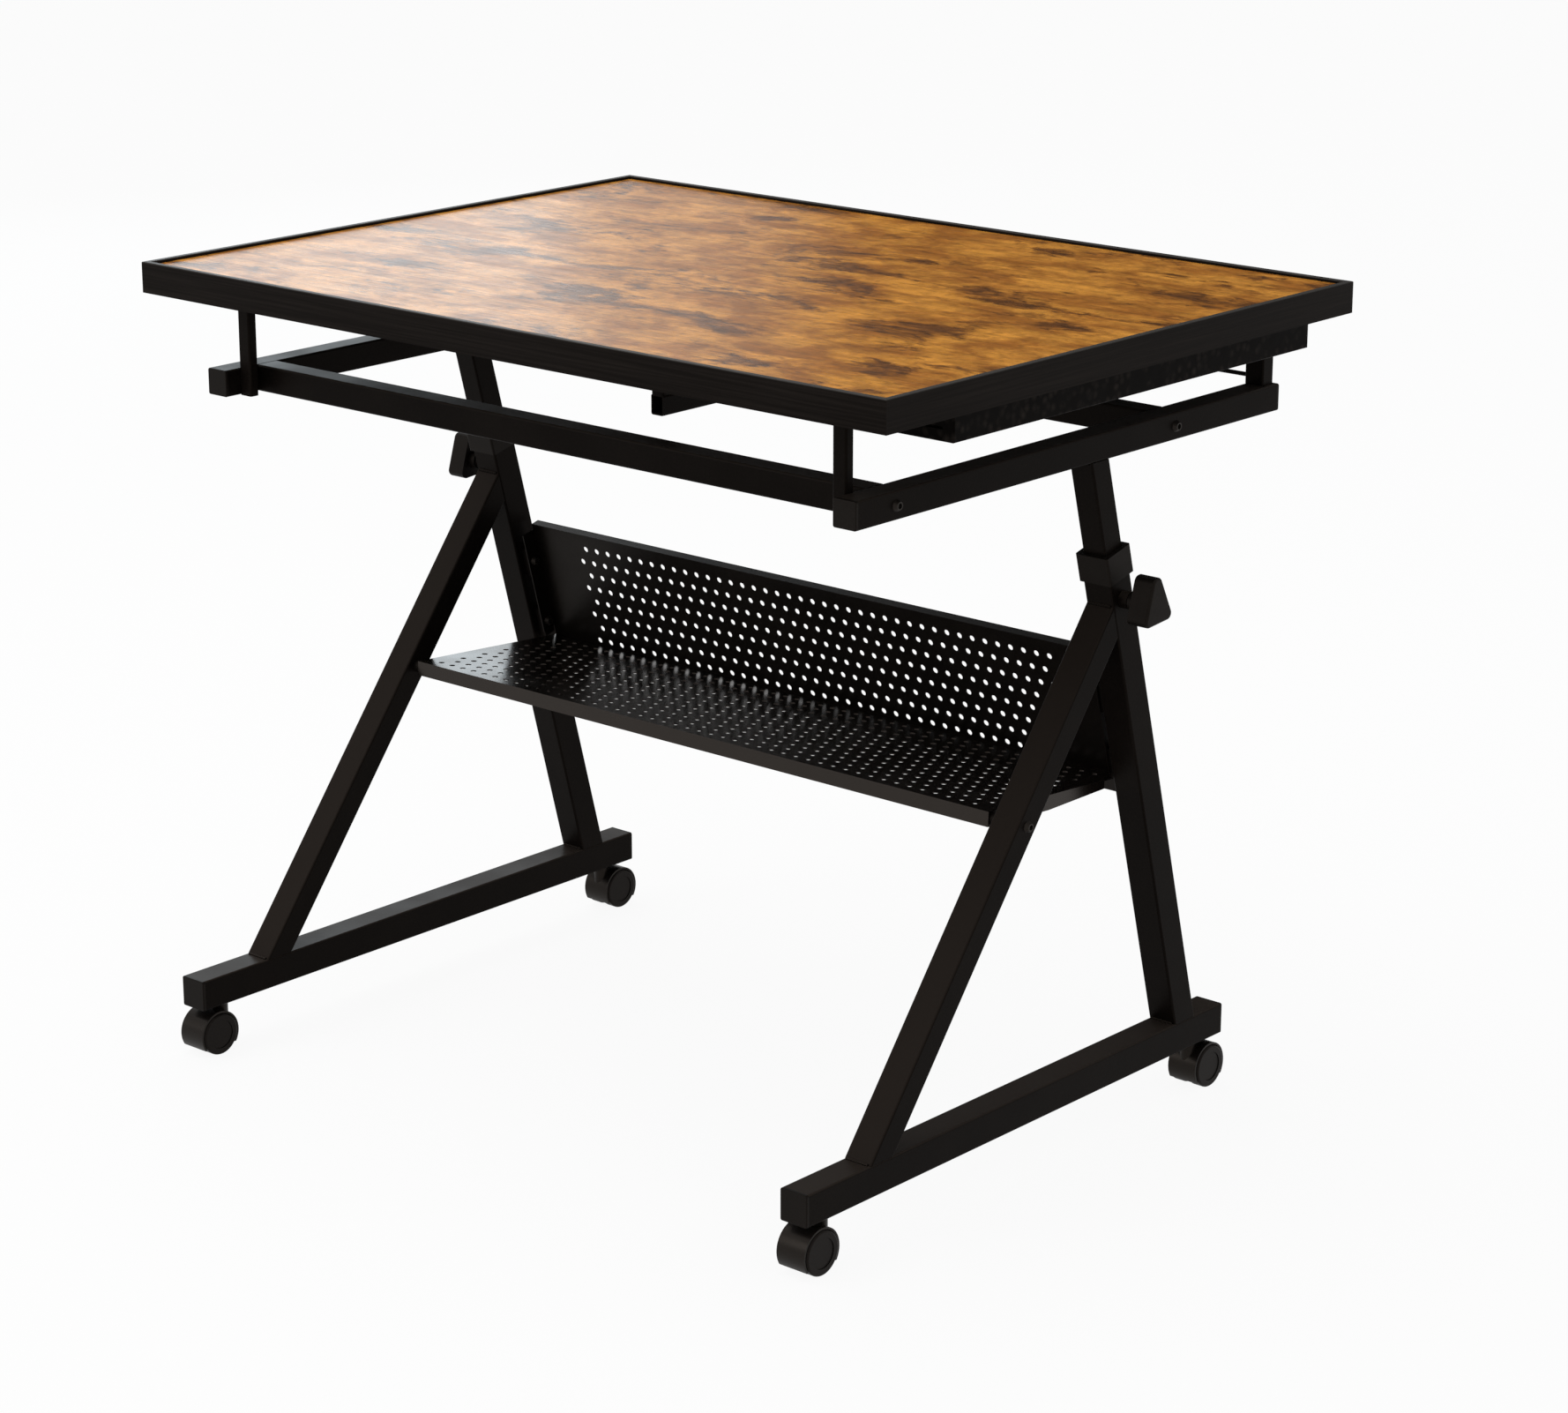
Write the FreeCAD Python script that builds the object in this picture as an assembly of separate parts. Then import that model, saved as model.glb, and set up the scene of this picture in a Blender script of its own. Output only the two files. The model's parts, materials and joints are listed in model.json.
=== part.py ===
import FreeCAD, Part
import math
import os

# Jigsaw puzzle table on castors. Two steel A-frames carry a perforated shelf. A lift frame telescopes in
# the leaning rear legs, is clamped by two wing knobs, and carries a framed board with two sorting drawers.
# Millimetres. X runs across the table, +Y to its back, +Z up, and the floor is Z = 0.

# Board and its edge rails
top_length = 900.0
top_depth = 660.0
top_height = 762.5
top_rise = 197.5
edge_rail_thickness = 6.5
edge_rail_height = 29.0
board_recess = 3.0
board_thickness = 15.0

# Feet and legs of the base
top_end_overhang = 67.0
foot_front_reach = 34.0
foot_rear_setback = 94.0
foot_size = 30.0
base_tube_wall = 1.5
front_leg_depth = 25.0
front_leg_foot_inset = 99.0
front_leg_joint_drop = 48.0
rear_leg_size = 30.0
rear_leg_foot_inset = 60.0
rear_leg_tilt_deg = 14.8

# Telescoping inner legs
inner_leg_showing = 92.3
inner_leg_gap = 1.0
inner_leg_wall = 1.5
telescope_clearance = 0.3
least_engagement = 60.0
glide_length = 10.0
glide_plug_length = 14.0
collar_wall = 2.5
collar_cover = 22.0
collar_mouth = 5.0

# Clamp knobs
knob_below_mouth = 42.5
knob_thickness = 21.0
knob_height = 42.5
knob_foot_width = 44.0
knob_head_width = 10.5
knob_foot_drop = 16.5
knob_corner_radius = 6.0
knob_edge_radius = 2.5
knob_hub_radius = 9.0
knob_hub_length = 7.5
knob_turn_deg = 5.0
clamp_nut_radius = 8.0
clamp_nut_length = 9.0
clamp_nut_gap = 1.5
stud_radius = 4.0
stud_running_clearance = 0.05
stud_tip_gap = 0.3
stud_anchor_length = 9.0

# Lift frame
frame_drop = 68.0
frame_tube_size = 25.0
frame_tube_wall = 1.5
side_tube_front_inset = 28.0
side_tube_rear_inset = 32.0
front_cross_inset = 52.0
rear_cross_inset = 160.0
cross_end_plate = 3.0
front_post_width = 15.0
front_post_depth = 10.0
front_post_inset = 17.0
rear_post_width = 20.0
rear_post_depth = 17.0
rear_post_inset = 3.0
post_wall = 1.5
post_plate_thickness = 3.0
post_plate_depth = 30.0
post_plate_side_margin = 8.0
tie_rod_radius = 2.0
tie_rod_rise = 6.5
centre_support_width = 15.0
centre_support_depth = 19.0
centre_support_front = 217.5

# End caps of the feet and side tubes
end_cap_thickness = 3.0
end_cap_plug_length = 12.0
end_cap_edge_radius = 1.0
plug_clearance = 0.1

# Perforated shelf
sheet_thickness = 1.2
shelf_end_gap = 8.0
shelf_panel_height = 146.0
shelf_panel_drop = 109.0
shelf_panel_setback = 7.7
shelf_panel_hem = 8.0
shelf_flange_depth = 17.0
shelf_flange_margin = 6.0
shelf_floor_rise = 31.8
shelf_floor_tilt_deg = 3.9
shelf_lip_height = 14.0
shelf_end_lip_taper_start = 88.0
shelf_end_lip_rear_gap = 25.2
shelf_end_lip_rear_height = 8.4
shelf_joint_gap = 0.1
hole_radius = 3.0
hole_pitch = 15.0
panel_hole_end_margin = 64.0
panel_first_row_drop = 16.0
panel_last_row_margin = 18.0
floor_hole_end_margin = 20.0
floor_first_row = 14.0
floor_last_row_margin = 10.0
spacer_height = 30.0
spacer_depth = 13.0
spacer_upper_drop = 38.0
spacer_lower_rise = 39.0
floor_spacer_radius = 6.5

# Fasteners
bolt_radius = 3.0
bolt_head_radius = 5.5
bolt_head_height = 3.5
bolt_head_edge_radius = 1.5
bolt_clearance = 0.1
bolt_end_length = 5.0
nut_radius = 5.0
nut_height = 4.0
floor_bolt_setback = 8.0
floor_nut_clearance = 0.8
wood_screw_radius = 2.0
wood_screw_head_radius = 4.0
wood_screw_head_height = 2.5
wood_screw_depth = 10.0

# Sorting drawers and their runners
drawer_height = 24.5
drawer_wall = 12.0
drawer_bottom_thickness = 3.0
drawer_end_inset = 10.0
drawer_centre_clearance = 4.5
drawer_rail_gap = 0.5
drawer_front_gap = 43.0
drawer_rear_gap = 3.0
runner_thickness = 1.5
runner_flange = 14.0
runner_tongue = 3.5
runner_gap = 0.5
runner_end_inset = 88.0
groove_drop = 12.5
runner_screw_columns = 5
runner_screw_end_margin = 30.0

# Castors
castor_neck = 5.0
castor_inset = 32.5
castor_trail = 13.5
castor_swivel_gap = 0.4
wheel_radius = 20.5
wheel_edge_radius = 2.0
wheel_dish_radius = 14.0
wheel_dish_depth = 0.8
wheel_side_clearance = 0.4
wheel_overhang = 1.5
hood_width = 31.0
hood_wall = 1.9
hood_web = 7.0
hood_wheel_clearance = 0.6
hood_skirt_height = 8.0
stem_boss_radius = 8.0
stem_radius = 3.5
stem_anchor_length = 8.0
stem_grip_length = 20.0
stem_running_clearance = 0.05
socket_radius = 7.0
axle_radius = 2.5
axle_running_clearance = 0.05
axle_end_cover = 3.0

# Rounded edges
tube_corner_radius = 2.0
rail_edge_radius = 1.0
panel_edge_radius = 1.0

# One overrun for every cut that passes a face
overrun = 2.0

# Directions
AXIS_X = FreeCAD.Vector(1, 0, 0)
AXIS_Y = FreeCAD.Vector(0, 1, 0)
AXIS_Z = FreeCAD.Vector(0, 0, 1)
PARALLEL_SHARE = 0.99
RIGHT_ANGLE_DEG = 90.0
HALF_TURN_DEG = 180.0

# Castor hood
hood_radius = wheel_radius + hood_wheel_clearance + hood_wall
castor_height = wheel_radius + hood_radius + castor_neck
castor_reach = max(0.0, castor_trail + hood_radius - castor_inset)

# Plan: the origin is under the middle of the box round the board, the feet and the front castors
top_centre_y = (foot_front_reach + castor_reach) / 2
board_front_y = top_centre_y - top_depth / 2
board_rear_y = top_centre_y + top_depth / 2
foot_front_y = board_front_y - foot_front_reach
foot_rear_y = board_rear_y - foot_rear_setback
foot_centre_x = top_length / 2 - top_end_overhang

# Heights
foot_top_z = castor_height + foot_size
rail_bottom_z = top_height - edge_rail_height
board_top_z = top_height - board_recess
board_bottom_z = board_top_z - board_thickness
frame_top_z = rail_bottom_z - frame_drop
frame_bottom_z = frame_top_z - frame_tube_size
drawer_top_z = rail_bottom_z - drawer_rail_gap
drawer_bottom_z = drawer_top_z - drawer_height

# Legs: a station is a distance up the rear leg's axis from the top of the foot
rear_leg_sin = math.sin(math.radians(rear_leg_tilt_deg))
rear_leg_cos = math.cos(math.radians(rear_leg_tilt_deg))
rear_leg_foot_y = foot_rear_y - rear_leg_foot_inset
front_leg_foot_y = foot_front_y + front_leg_foot_inset
leg_inner_x = foot_centre_x - rear_leg_size / 2
leg_outer_x = foot_centre_x + rear_leg_size / 2
rear_leg_length = (frame_bottom_z - foot_top_z) / rear_leg_cos - inner_leg_showing
front_leg_joint = rear_leg_length - front_leg_joint_drop
front_leg_run = rear_leg_foot_y - front_leg_joint * rear_leg_sin - front_leg_foot_y
front_leg_tilt_deg = math.degrees(math.atan2(front_leg_run, front_leg_joint * rear_leg_cos))
inner_leg_size = rear_leg_size - 2 * base_tube_wall - 2 * inner_leg_gap
lift_travel = top_rise / rear_leg_cos
inner_leg_start = rear_leg_length - lift_travel - least_engagement
knob_station = rear_leg_length - knob_below_mouth
reach = top_length + top_depth + top_height + top_rise

# Lift frame
side_tube_front_y = board_front_y + side_tube_front_inset
side_tube_rear_y = board_rear_y - side_tube_rear_inset
side_tube_inner_x = foot_centre_x - frame_tube_size / 2
side_tube_outer_x = foot_centre_x + frame_tube_size / 2
front_cross_y = side_tube_front_y + front_cross_inset
rear_cross_y = side_tube_rear_y - rear_cross_inset
frame_middle_z = (frame_top_z + frame_bottom_z) / 2
front_post_y = side_tube_front_y + front_post_inset
rear_post_y = side_tube_rear_y - rear_post_inset - rear_post_depth
centre_support_y = board_front_y + centre_support_front

# Drawers
drawer_front_y = front_post_y + front_post_depth + drawer_front_gap
drawer_rear_y = rear_post_y - drawer_rear_gap
drawer_outer_x = top_length / 2 - drawer_end_inset
drawer_inner_x = centre_support_width / 2 + drawer_centre_clearance
runner_end_x = top_length / 2 - runner_end_inset
tongue_top_z = drawer_top_z - groove_drop
tongue_bottom_z = tongue_top_z - runner_thickness

# Shelf
shelf_end_x = leg_inner_x - shelf_end_gap
shelf_length = 2 * shelf_end_x
shelf_panel_end = rear_leg_length - shelf_panel_drop
shelf_panel_start = shelf_panel_end - shelf_panel_height
shelf_panel_foot_z = foot_top_z + shelf_panel_start * rear_leg_cos + shelf_panel_setback * rear_leg_sin
shelf_floor_height = shelf_panel_foot_z + shelf_floor_rise
floor_bolt_drop = sheet_thickness + nut_radius + floor_nut_clearance

# Castors
wheel_width = (hood_width - hood_web) / 2 - wheel_side_clearance + wheel_overhang
castor_places = {
    "front_left": (-foot_centre_x, foot_front_y + castor_inset, 0),
    "front_right": (foot_centre_x, foot_front_y + castor_inset, 0),
    "rear_left": (-foot_centre_x, foot_rear_y - castor_inset, HALF_TURN_DEG),
    "rear_right": (foot_centre_x, foot_rear_y - castor_inset, HALF_TURN_DEG),
}


def vec(x=0.0, y=0.0, z=0.0):
    """A point or direction."""
    return FreeCAD.Vector(x, y, z)


def block(x0, x1, y0, y1, z0, z1):
    """A box between two corners."""
    return Part.makeBox(x1 - x0, y1 - y0, z1 - z0, vec(x0, y0, z0))


def centred_block(width, depth, z0, z1):
    """A box centred on the Z axis."""
    return block(-width / 2, width / 2, -depth / 2, depth / 2, z0, z1)


def pin(radius, start, end):
    """A round bar from one point to another."""
    span = end.sub(start)
    return Part.makeCylinder(radius, span.Length, start, span)


def mirrored(shape):
    """The same shape on the other side of the table."""
    return shape.mirror(vec(), AXIS_X)


def placed(shape, placement):
    """A copy of a shape moved from a local frame into the table's frame."""
    copy = shape.copy()
    copy.Placement = placement.multiply(copy.Placement)
    return copy


def joined(first, *others):
    """One solid made of pieces that are welded or bent from one sheet."""
    return first.fuse(list(others)).removeSplitter()


def group(*shapes):
    """Separate solids that share one node."""
    return Part.makeCompound([solid for shape in shapes for solid in shape.Solids])


def both_sides(shape):
    """A shape and its mirror image as separate solids."""
    return group(shape, mirrored(shape))


def rounded(bar, direction, radius=tube_corner_radius):
    """A straight bar with its edges along one direction rounded."""
    edges = [edge for edge in bar.Edges
             if abs(edge.tangentAt(edge.FirstParameter).dot(direction)) > PARALLEL_SHARE]
    return bar.makeFillet(radius, edges)


def upright_tube(width, depth, wall, z0, z1):
    """A rectangular tube along the Z axis, open at both ends."""
    bore = centred_block(width - 2 * wall, depth - 2 * wall, z0 - overrun, z1 + overrun)
    return rounded(centred_block(width, depth, z0, z1), AXIS_Z).cut(bore)


def tube_along_y(size, wall, x, y0, y1, z):
    """A square tube along Y, open at both ends, centred at x and z."""
    outer = block(x - size / 2, x + size / 2, y0, y1, z - size / 2, z + size / 2)
    bore = size / 2 - wall
    hollow = block(x - bore, x + bore, y0 - overrun, y1 + overrun, z - bore, z + bore)
    return rounded(outer, AXIS_Y).cut(hollow)


def end_cap(size, wall, x, y, z, outward):
    """A plastic cap on the end of a square tube along Y: a rounded head and a plug."""
    head = rounded(block(-size / 2, size / 2, -end_cap_thickness, 0, -size / 2, size / 2), AXIS_Y)
    front_edges = [edge for edge in head.Edges if edge.BoundBox.YMax < -end_cap_thickness / 2]
    head = head.makeFillet(end_cap_edge_radius, front_edges)
    plug = size / 2 - wall - plug_clearance
    cap = joined(head, block(-plug, plug, 0, end_cap_plug_length, -plug, plug))
    if outward > 0:
        cap = cap.mirror(vec(), AXIS_Y)
    return cap.translated(vec(x, y, z))


def button_bolt(head_face, inward, length):
    """A round-headed bolt whose head stands on a face at the point head_face."""
    head = Part.makeCylinder(bolt_head_radius, bolt_head_height, head_face, inward.negative())
    crown = head_face.sub(FreeCAD.Vector(inward).multiply(bolt_head_height))
    rim = [edge for edge in head.Edges
           if edge.Closed and edge.CenterOfMass.distanceToPoint(crown) < bolt_head_height / 2]
    head = head.makeFillet(bolt_head_edge_radius, rim)
    return joined(head, Part.makeCylinder(bolt_radius, length, head_face, inward))


def bolt_hole(start, end, radius=bolt_radius + bolt_clearance):
    """The drill for a bolt between two points."""
    return pin(radius, start, end)


def rear_leg_frame(x=foot_centre_x):
    """Local frame of a rear leg: Z along the leg from the foot's top, Y square to it, towards the back."""
    lean = FreeCAD.Rotation(AXIS_X, rear_leg_tilt_deg)
    return FreeCAD.Placement(vec(x, rear_leg_foot_y, foot_top_z), lean)


def front_leg_frame():
    """Local frame of the right front leg, with Z along the leg from the foot's top."""
    lean = FreeCAD.Rotation(AXIS_X, -front_leg_tilt_deg)
    return FreeCAD.Placement(vec(foot_centre_x, front_leg_foot_y, foot_top_z), lean)


def floor_frame():
    """Local frame of the shelf floor: Y back along its slope from its front edge, Z square to it."""
    slope = FreeCAD.Rotation(AXIS_X, -shelf_floor_tilt_deg)
    return FreeCAD.Placement(floor_front_point(), slope)


def floor_front_point():
    """The middle of the shelf floor's front edge, in line with the front legs."""
    rise = shelf_floor_height - foot_top_z
    leg_y = front_leg_foot_y + rise * math.tan(math.radians(front_leg_tilt_deg))
    return vec(0, leg_y - front_leg_depth / 2, shelf_floor_height)


def knob_axis_point():
    """Where the right knob's axis crosses the middle of the right rear leg."""
    return rear_leg_frame().multVec(vec(0, 0, knob_station))


def floor_bolt_point():
    """Where the right floor bolt crosses the plane of the shelf's right end."""
    local = vec(shelf_end_x, floor_bolt_setback, -floor_bolt_drop)
    return floor_frame().multVec(local)


def shelf_screw_points():
    """Where the shelf panel's two right-hand screws cross the panel's right end."""
    middle_y = shelf_panel_setback - shelf_flange_depth / 2
    stations = (shelf_panel_end - spacer_upper_drop, shelf_panel_start + spacer_lower_rise)
    return [vec(shelf_end_x, middle_y, station) for station in stations]


def make_foot():
    """The right foot tube, with the holes for its castor sockets."""
    tube = tube_along_y(foot_size, base_tube_wall, foot_centre_x, foot_front_y + end_cap_thickness,
                        foot_rear_y - end_cap_thickness, castor_height + foot_size / 2)
    for y in (foot_front_y + castor_inset, foot_rear_y - castor_inset):
        low = vec(foot_centre_x, y, castor_height - overrun)
        high = vec(foot_centre_x, y, castor_height + base_tube_wall + overrun)
        tube = tube.cut(pin(socket_radius + plug_clearance, low, high))
    return tube


def make_foot_caps():
    """The four end caps of the feet."""
    z = castor_height + foot_size / 2
    front = end_cap(foot_size, base_tube_wall, foot_centre_x, foot_front_y + end_cap_thickness, z, -1)
    rear = end_cap(foot_size, base_tube_wall, foot_centre_x, foot_rear_y - end_cap_thickness, z, 1)
    return both_sides(group(front, rear))


def make_front_leg():
    """The right front leg, mitred to the foot's top and to the rear leg's front face."""
    tube = upright_tube(rear_leg_size, front_leg_depth, base_tube_wall, -reach / 2, reach / 2)
    tube = placed(tube, front_leg_frame())
    above_foot = block(-reach, reach, -reach, reach, foot_top_z, reach)
    behind_face = block(-reach, reach, -rear_leg_size / 2, reach, -reach, reach)
    tube = tube.common(above_foot).cut(placed(behind_face, rear_leg_frame()))
    bolt = floor_bolt_point()
    inside = vec(leg_inner_x - overrun, bolt.y, bolt.z)
    outside = vec(leg_outer_x + overrun, bolt.y, bolt.z)
    return tube.cut(bolt_hole(inside, outside))


def make_rear_leg():
    """The right rear leg: the outer tube of the telescope, with its welded clamp nut."""
    tube = upright_tube(rear_leg_size, rear_leg_size, base_tube_wall, -foot_size, rear_leg_length)
    tube = placed(tube, rear_leg_frame())
    tube = tube.common(block(-reach, reach, -reach, reach, foot_top_z, reach))
    axis = knob_axis_point()
    face = vec(foot_centre_x + rear_leg_size / 2, axis.y, axis.z)
    nut_end = face.add(vec(clamp_nut_length, 0, 0))
    tube = joined(tube, pin(clamp_nut_radius, face, nut_end))
    inside = face.sub(vec(base_tube_wall + overrun / 2, 0, 0))
    tube = tube.cut(pin(stud_radius + stud_running_clearance, inside, nut_end.add(vec(overrun, 0, 0))))
    for point in shelf_screw_points():
        start = vec(leg_inner_x - foot_centre_x - overrun, point.y, point.z)
        end = start.add(vec(base_tube_wall + 2 * overrun, 0, 0))
        tube = tube.cut(placed(bolt_hole(start, end), rear_leg_frame()))
    return tube


def make_collar():
    """The right plastic collar, over the mouth of the rear leg and close round the inner leg."""
    outside = rear_leg_size + 2 * collar_wall
    mouth = inner_leg_size + 2 * telescope_clearance
    ring_wall = (outside - mouth) / 2
    collar_top = rear_leg_length + collar_mouth
    sleeve = upright_tube(outside, outside, collar_wall, rear_leg_length - collar_cover, rear_leg_length)
    ring = upright_tube(outside, outside, ring_wall, rear_leg_length, collar_top)
    return placed(joined(sleeve, ring), rear_leg_frame())


def hole_count(span):
    """How many holes, one pitch apart, fit in a span."""
    return int(span / hole_pitch) + 1


def perforated_sheet(length, depth, columns, rows, first_row):
    """A flat sheet in X and Y with staggered rows of round holes."""
    wires = [Part.makePolygon([vec(-length / 2, 0), vec(length / 2, 0), vec(length / 2, depth),
                               vec(-length / 2, depth), vec(-length / 2, 0)])]
    for row in range(rows):
        stagger = hole_pitch / 4 if row % 2 else -hole_pitch / 4
        for column in range(columns):
            x = (column - (columns - 1) / 2) * hole_pitch + stagger
            circle = Part.Circle(vec(x, first_row + row * hole_pitch), AXIS_Z, hole_radius)
            wires.append(Part.Wire(circle.toShape()))
    return Part.makeFace(wires, "Part::FaceMakerBullseye").extrude(vec(0, 0, sheet_thickness))


def make_shelf_panel():
    """The shelf's back panel, leaning with the rear legs, with a hem and a flange at each end."""
    columns = hole_count(shelf_length - 2 * panel_hole_end_margin)
    rows = hole_count(shelf_panel_height - panel_first_row_drop - panel_last_row_margin)
    first_row = shelf_panel_height - panel_first_row_drop - (rows - 1) * hole_pitch
    sheet = perforated_sheet(shelf_length, shelf_panel_height, columns, rows, first_row)
    upright = FreeCAD.Rotation(AXIS_X, RIGHT_ANGLE_DEG)
    sheet = placed(sheet, FreeCAD.Placement(vec(0, shelf_panel_setback, shelf_panel_start), upright))
    hem = block(-shelf_end_x, shelf_end_x, shelf_panel_setback, shelf_panel_setback + shelf_panel_hem,
                shelf_panel_end - sheet_thickness, shelf_panel_end)
    flange = block(shelf_end_x - sheet_thickness, shelf_end_x,
                   shelf_panel_setback - shelf_flange_depth, shelf_panel_setback - sheet_thickness,
                   shelf_panel_start + spacer_lower_rise - spacer_height / 2 + shelf_flange_margin,
                   shelf_panel_end - shelf_flange_margin)
    for point in shelf_screw_points():
        flange = flange.cut(bolt_hole(point.sub(vec(overrun, 0, 0)), point.add(vec(overrun, 0, 0))))
    panel = joined(sheet, hem, flange, mirrored(flange))
    return placed(panel, rear_leg_frame(x=0))


def shelf_floor_depth():
    """How far the floor runs back along its slope before it meets the panel's front face."""
    front = floor_front_point()
    panel_face = shelf_panel_setback - sheet_thickness - shelf_joint_gap
    slope = math.radians(shelf_floor_tilt_deg)
    start = (front.y - rear_leg_foot_y) * rear_leg_cos + (front.z - foot_top_z) * rear_leg_sin
    return (panel_face - start) / (math.cos(slope) * rear_leg_cos - math.sin(slope) * rear_leg_sin)


def make_shelf_floor():
    """The shelf's perforated floor, with a lip along its front and a tapering lip at each end."""
    depth = shelf_floor_depth()
    columns = hole_count(shelf_length - 2 * floor_hole_end_margin)
    rows = hole_count(depth - floor_first_row - floor_last_row_margin)
    sheet = perforated_sheet(shelf_length, depth, columns, rows, floor_first_row)
    sheet.translate(vec(0, 0, -sheet_thickness))
    lip = block(-shelf_end_x, shelf_end_x, 0, sheet_thickness, -shelf_lip_height, -sheet_thickness)
    inner_face = shelf_end_x - sheet_thickness
    lip_end = depth - shelf_end_lip_rear_gap
    outline = Part.makePolygon([
        vec(inner_face, sheet_thickness, -sheet_thickness),
        vec(inner_face, sheet_thickness, -shelf_lip_height),
        vec(inner_face, shelf_end_lip_taper_start, -shelf_lip_height),
        vec(inner_face, lip_end, -shelf_end_lip_rear_height),
        vec(inner_face, lip_end, -sheet_thickness),
        vec(inner_face, sheet_thickness, -sheet_thickness),
    ])
    end_lip = Part.Face(outline).extrude(vec(sheet_thickness, 0, 0))
    bolt = vec(shelf_end_x, floor_bolt_setback, -floor_bolt_drop)
    end_lip = end_lip.cut(bolt_hole(bolt.sub(vec(overrun, 0, 0)), bolt.add(vec(overrun, 0, 0))))
    return placed(joined(sheet, lip, end_lip, mirrored(end_lip)), floor_frame())


def make_shelf_spacers():
    """Plastic spacers between the shelf's ends and the legs."""
    spacers = []
    for point in shelf_screw_points():
        body = block(shelf_end_x, leg_inner_x, point.y - spacer_depth / 2, point.y + spacer_depth / 2,
                     point.z - spacer_height / 2, point.z + spacer_height / 2)
        drill = bolt_hole(point.sub(vec(overrun, 0, 0)), point.add(vec(shelf_end_gap + overrun, 0, 0)))
        spacers.append(placed(body.cut(drill), rear_leg_frame(x=0)))
    bolt = floor_bolt_point()
    ring = pin(floor_spacer_radius, bolt, vec(leg_inner_x, bolt.y, bolt.z))
    drill = bolt_hole(bolt.sub(vec(overrun, 0, 0)), vec(leg_inner_x + overrun, bolt.y, bolt.z))
    spacers.append(ring.cut(drill))
    return both_sides(group(*spacers))


def make_shelf_bolts():
    """Screws from the panel's flanges into the rear legs, and bolts with nuts through the front legs."""
    pieces = []
    for point in shelf_screw_points():
        face = point.sub(vec(sheet_thickness, 0, 0))
        length = sheet_thickness + shelf_end_gap + base_tube_wall
        pieces.append(placed(button_bolt(face, AXIS_X, length), rear_leg_frame(x=0)))
    bolt = floor_bolt_point()
    nut_face = bolt.x - sheet_thickness
    nut_end = vec(nut_face - nut_height, bolt.y, bolt.z)
    length = leg_outer_x - nut_end.x
    pieces.append(button_bolt(vec(leg_outer_x, bolt.y, bolt.z), AXIS_X.negative(), length))
    nut = pin(nut_radius, nut_end, vec(nut_face, bolt.y, bolt.z))
    drill = bolt_hole(nut_end.sub(vec(overrun, 0, 0)), vec(nut_face + overrun, bolt.y, bolt.z))
    pieces.append(nut.cut(drill))
    return both_sides(group(*pieces))


def make_castor_sockets():
    """The steel sleeves inside the feet that hold the castor stems."""
    sockets = []
    for x, y, turn_deg in castor_places.values():
        low = vec(x, y, castor_height)
        sleeve = pin(socket_radius, low, vec(x, y, foot_top_z - base_tube_wall))
        bore = pin(stem_radius + stem_running_clearance, low.sub(vec(0, 0, overrun)),
                   vec(x, y, castor_height + stem_grip_length + overrun))
        sockets.append(sleeve.cut(bore))
    return group(*sockets)


def make_inner_leg():
    """The right inner leg, from inside the rear leg up to the side tube's underside."""
    tube = upright_tube(inner_leg_size, inner_leg_size, inner_leg_wall, inner_leg_start, reach)
    tube = placed(tube, rear_leg_frame())
    return tube.common(block(-reach, reach, -reach, reach, 0, frame_bottom_z))


def make_inner_leg_glides():
    """The plastic glides at the lower ends of the inner legs."""
    width = rear_leg_size - 2 * base_tube_wall - 2 * telescope_clearance
    plug = inner_leg_size - 2 * inner_leg_wall - 2 * plug_clearance
    foot = centred_block(width, width, inner_leg_start - glide_length, inner_leg_start)
    stem = centred_block(plug, plug, inner_leg_start, inner_leg_start + glide_plug_length)
    return both_sides(placed(joined(foot, stem), rear_leg_frame()))


def make_side_tube():
    """The right side tube of the lift frame, with its bolt holes."""
    tube = tube_along_y(frame_tube_size, frame_tube_wall, foot_centre_x,
                        side_tube_front_y + end_cap_thickness, side_tube_rear_y - end_cap_thickness,
                        frame_middle_z)
    for y in (front_cross_y, rear_cross_y):
        tube = tube.cut(bolt_hole(vec(side_tube_inner_x - overrun, y, frame_middle_z),
                                  vec(side_tube_outer_x + overrun, y, frame_middle_z)))
    return tube


def make_side_tube_caps():
    """The four end caps of the side tubes."""
    front_y = side_tube_front_y + end_cap_thickness
    rear_y = side_tube_rear_y - end_cap_thickness
    front = end_cap(frame_tube_size, frame_tube_wall, foot_centre_x, front_y, frame_middle_z, -1)
    rear = end_cap(frame_tube_size, frame_tube_wall, foot_centre_x, rear_y, frame_middle_z, 1)
    return both_sides(group(front, rear))


def make_cross_tube(y):
    """A cross tube between the side tubes, with a welded plate at each end for its bolt."""
    half = frame_tube_size / 2
    bore = half - frame_tube_wall
    hollow_x = side_tube_inner_x - cross_end_plate
    outer = rounded(block(-side_tube_inner_x, side_tube_inner_x, y - half, y + half,
                          frame_bottom_z, frame_top_z), AXIS_X)
    hollow = block(-hollow_x, hollow_x, y - bore, y + bore, frame_middle_z - bore, frame_middle_z + bore)
    drill = bolt_hole(vec(-reach, y, frame_middle_z), vec(reach, y, frame_middle_z))
    return outer.cut(hollow).cut(drill)


def make_frame_bolts():
    """The bolts through the side tubes into the cross tubes."""
    length = frame_tube_size + cross_end_plate + bolt_end_length
    bolts = [button_bolt(vec(side_tube_outer_x, y, frame_middle_z), AXIS_X.negative(), length)
             for y in (front_cross_y, rear_cross_y)]
    return both_sides(group(*bolts))


def plate_screw_points(x0, x1, y):
    """Places of the two screws of a post's plate, on the plate's underside."""
    z = board_bottom_z - post_plate_thickness
    return [vec(x, y, z) for x in (x0 + wood_screw_head_radius, x1 - wood_screw_head_radius)]


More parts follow.
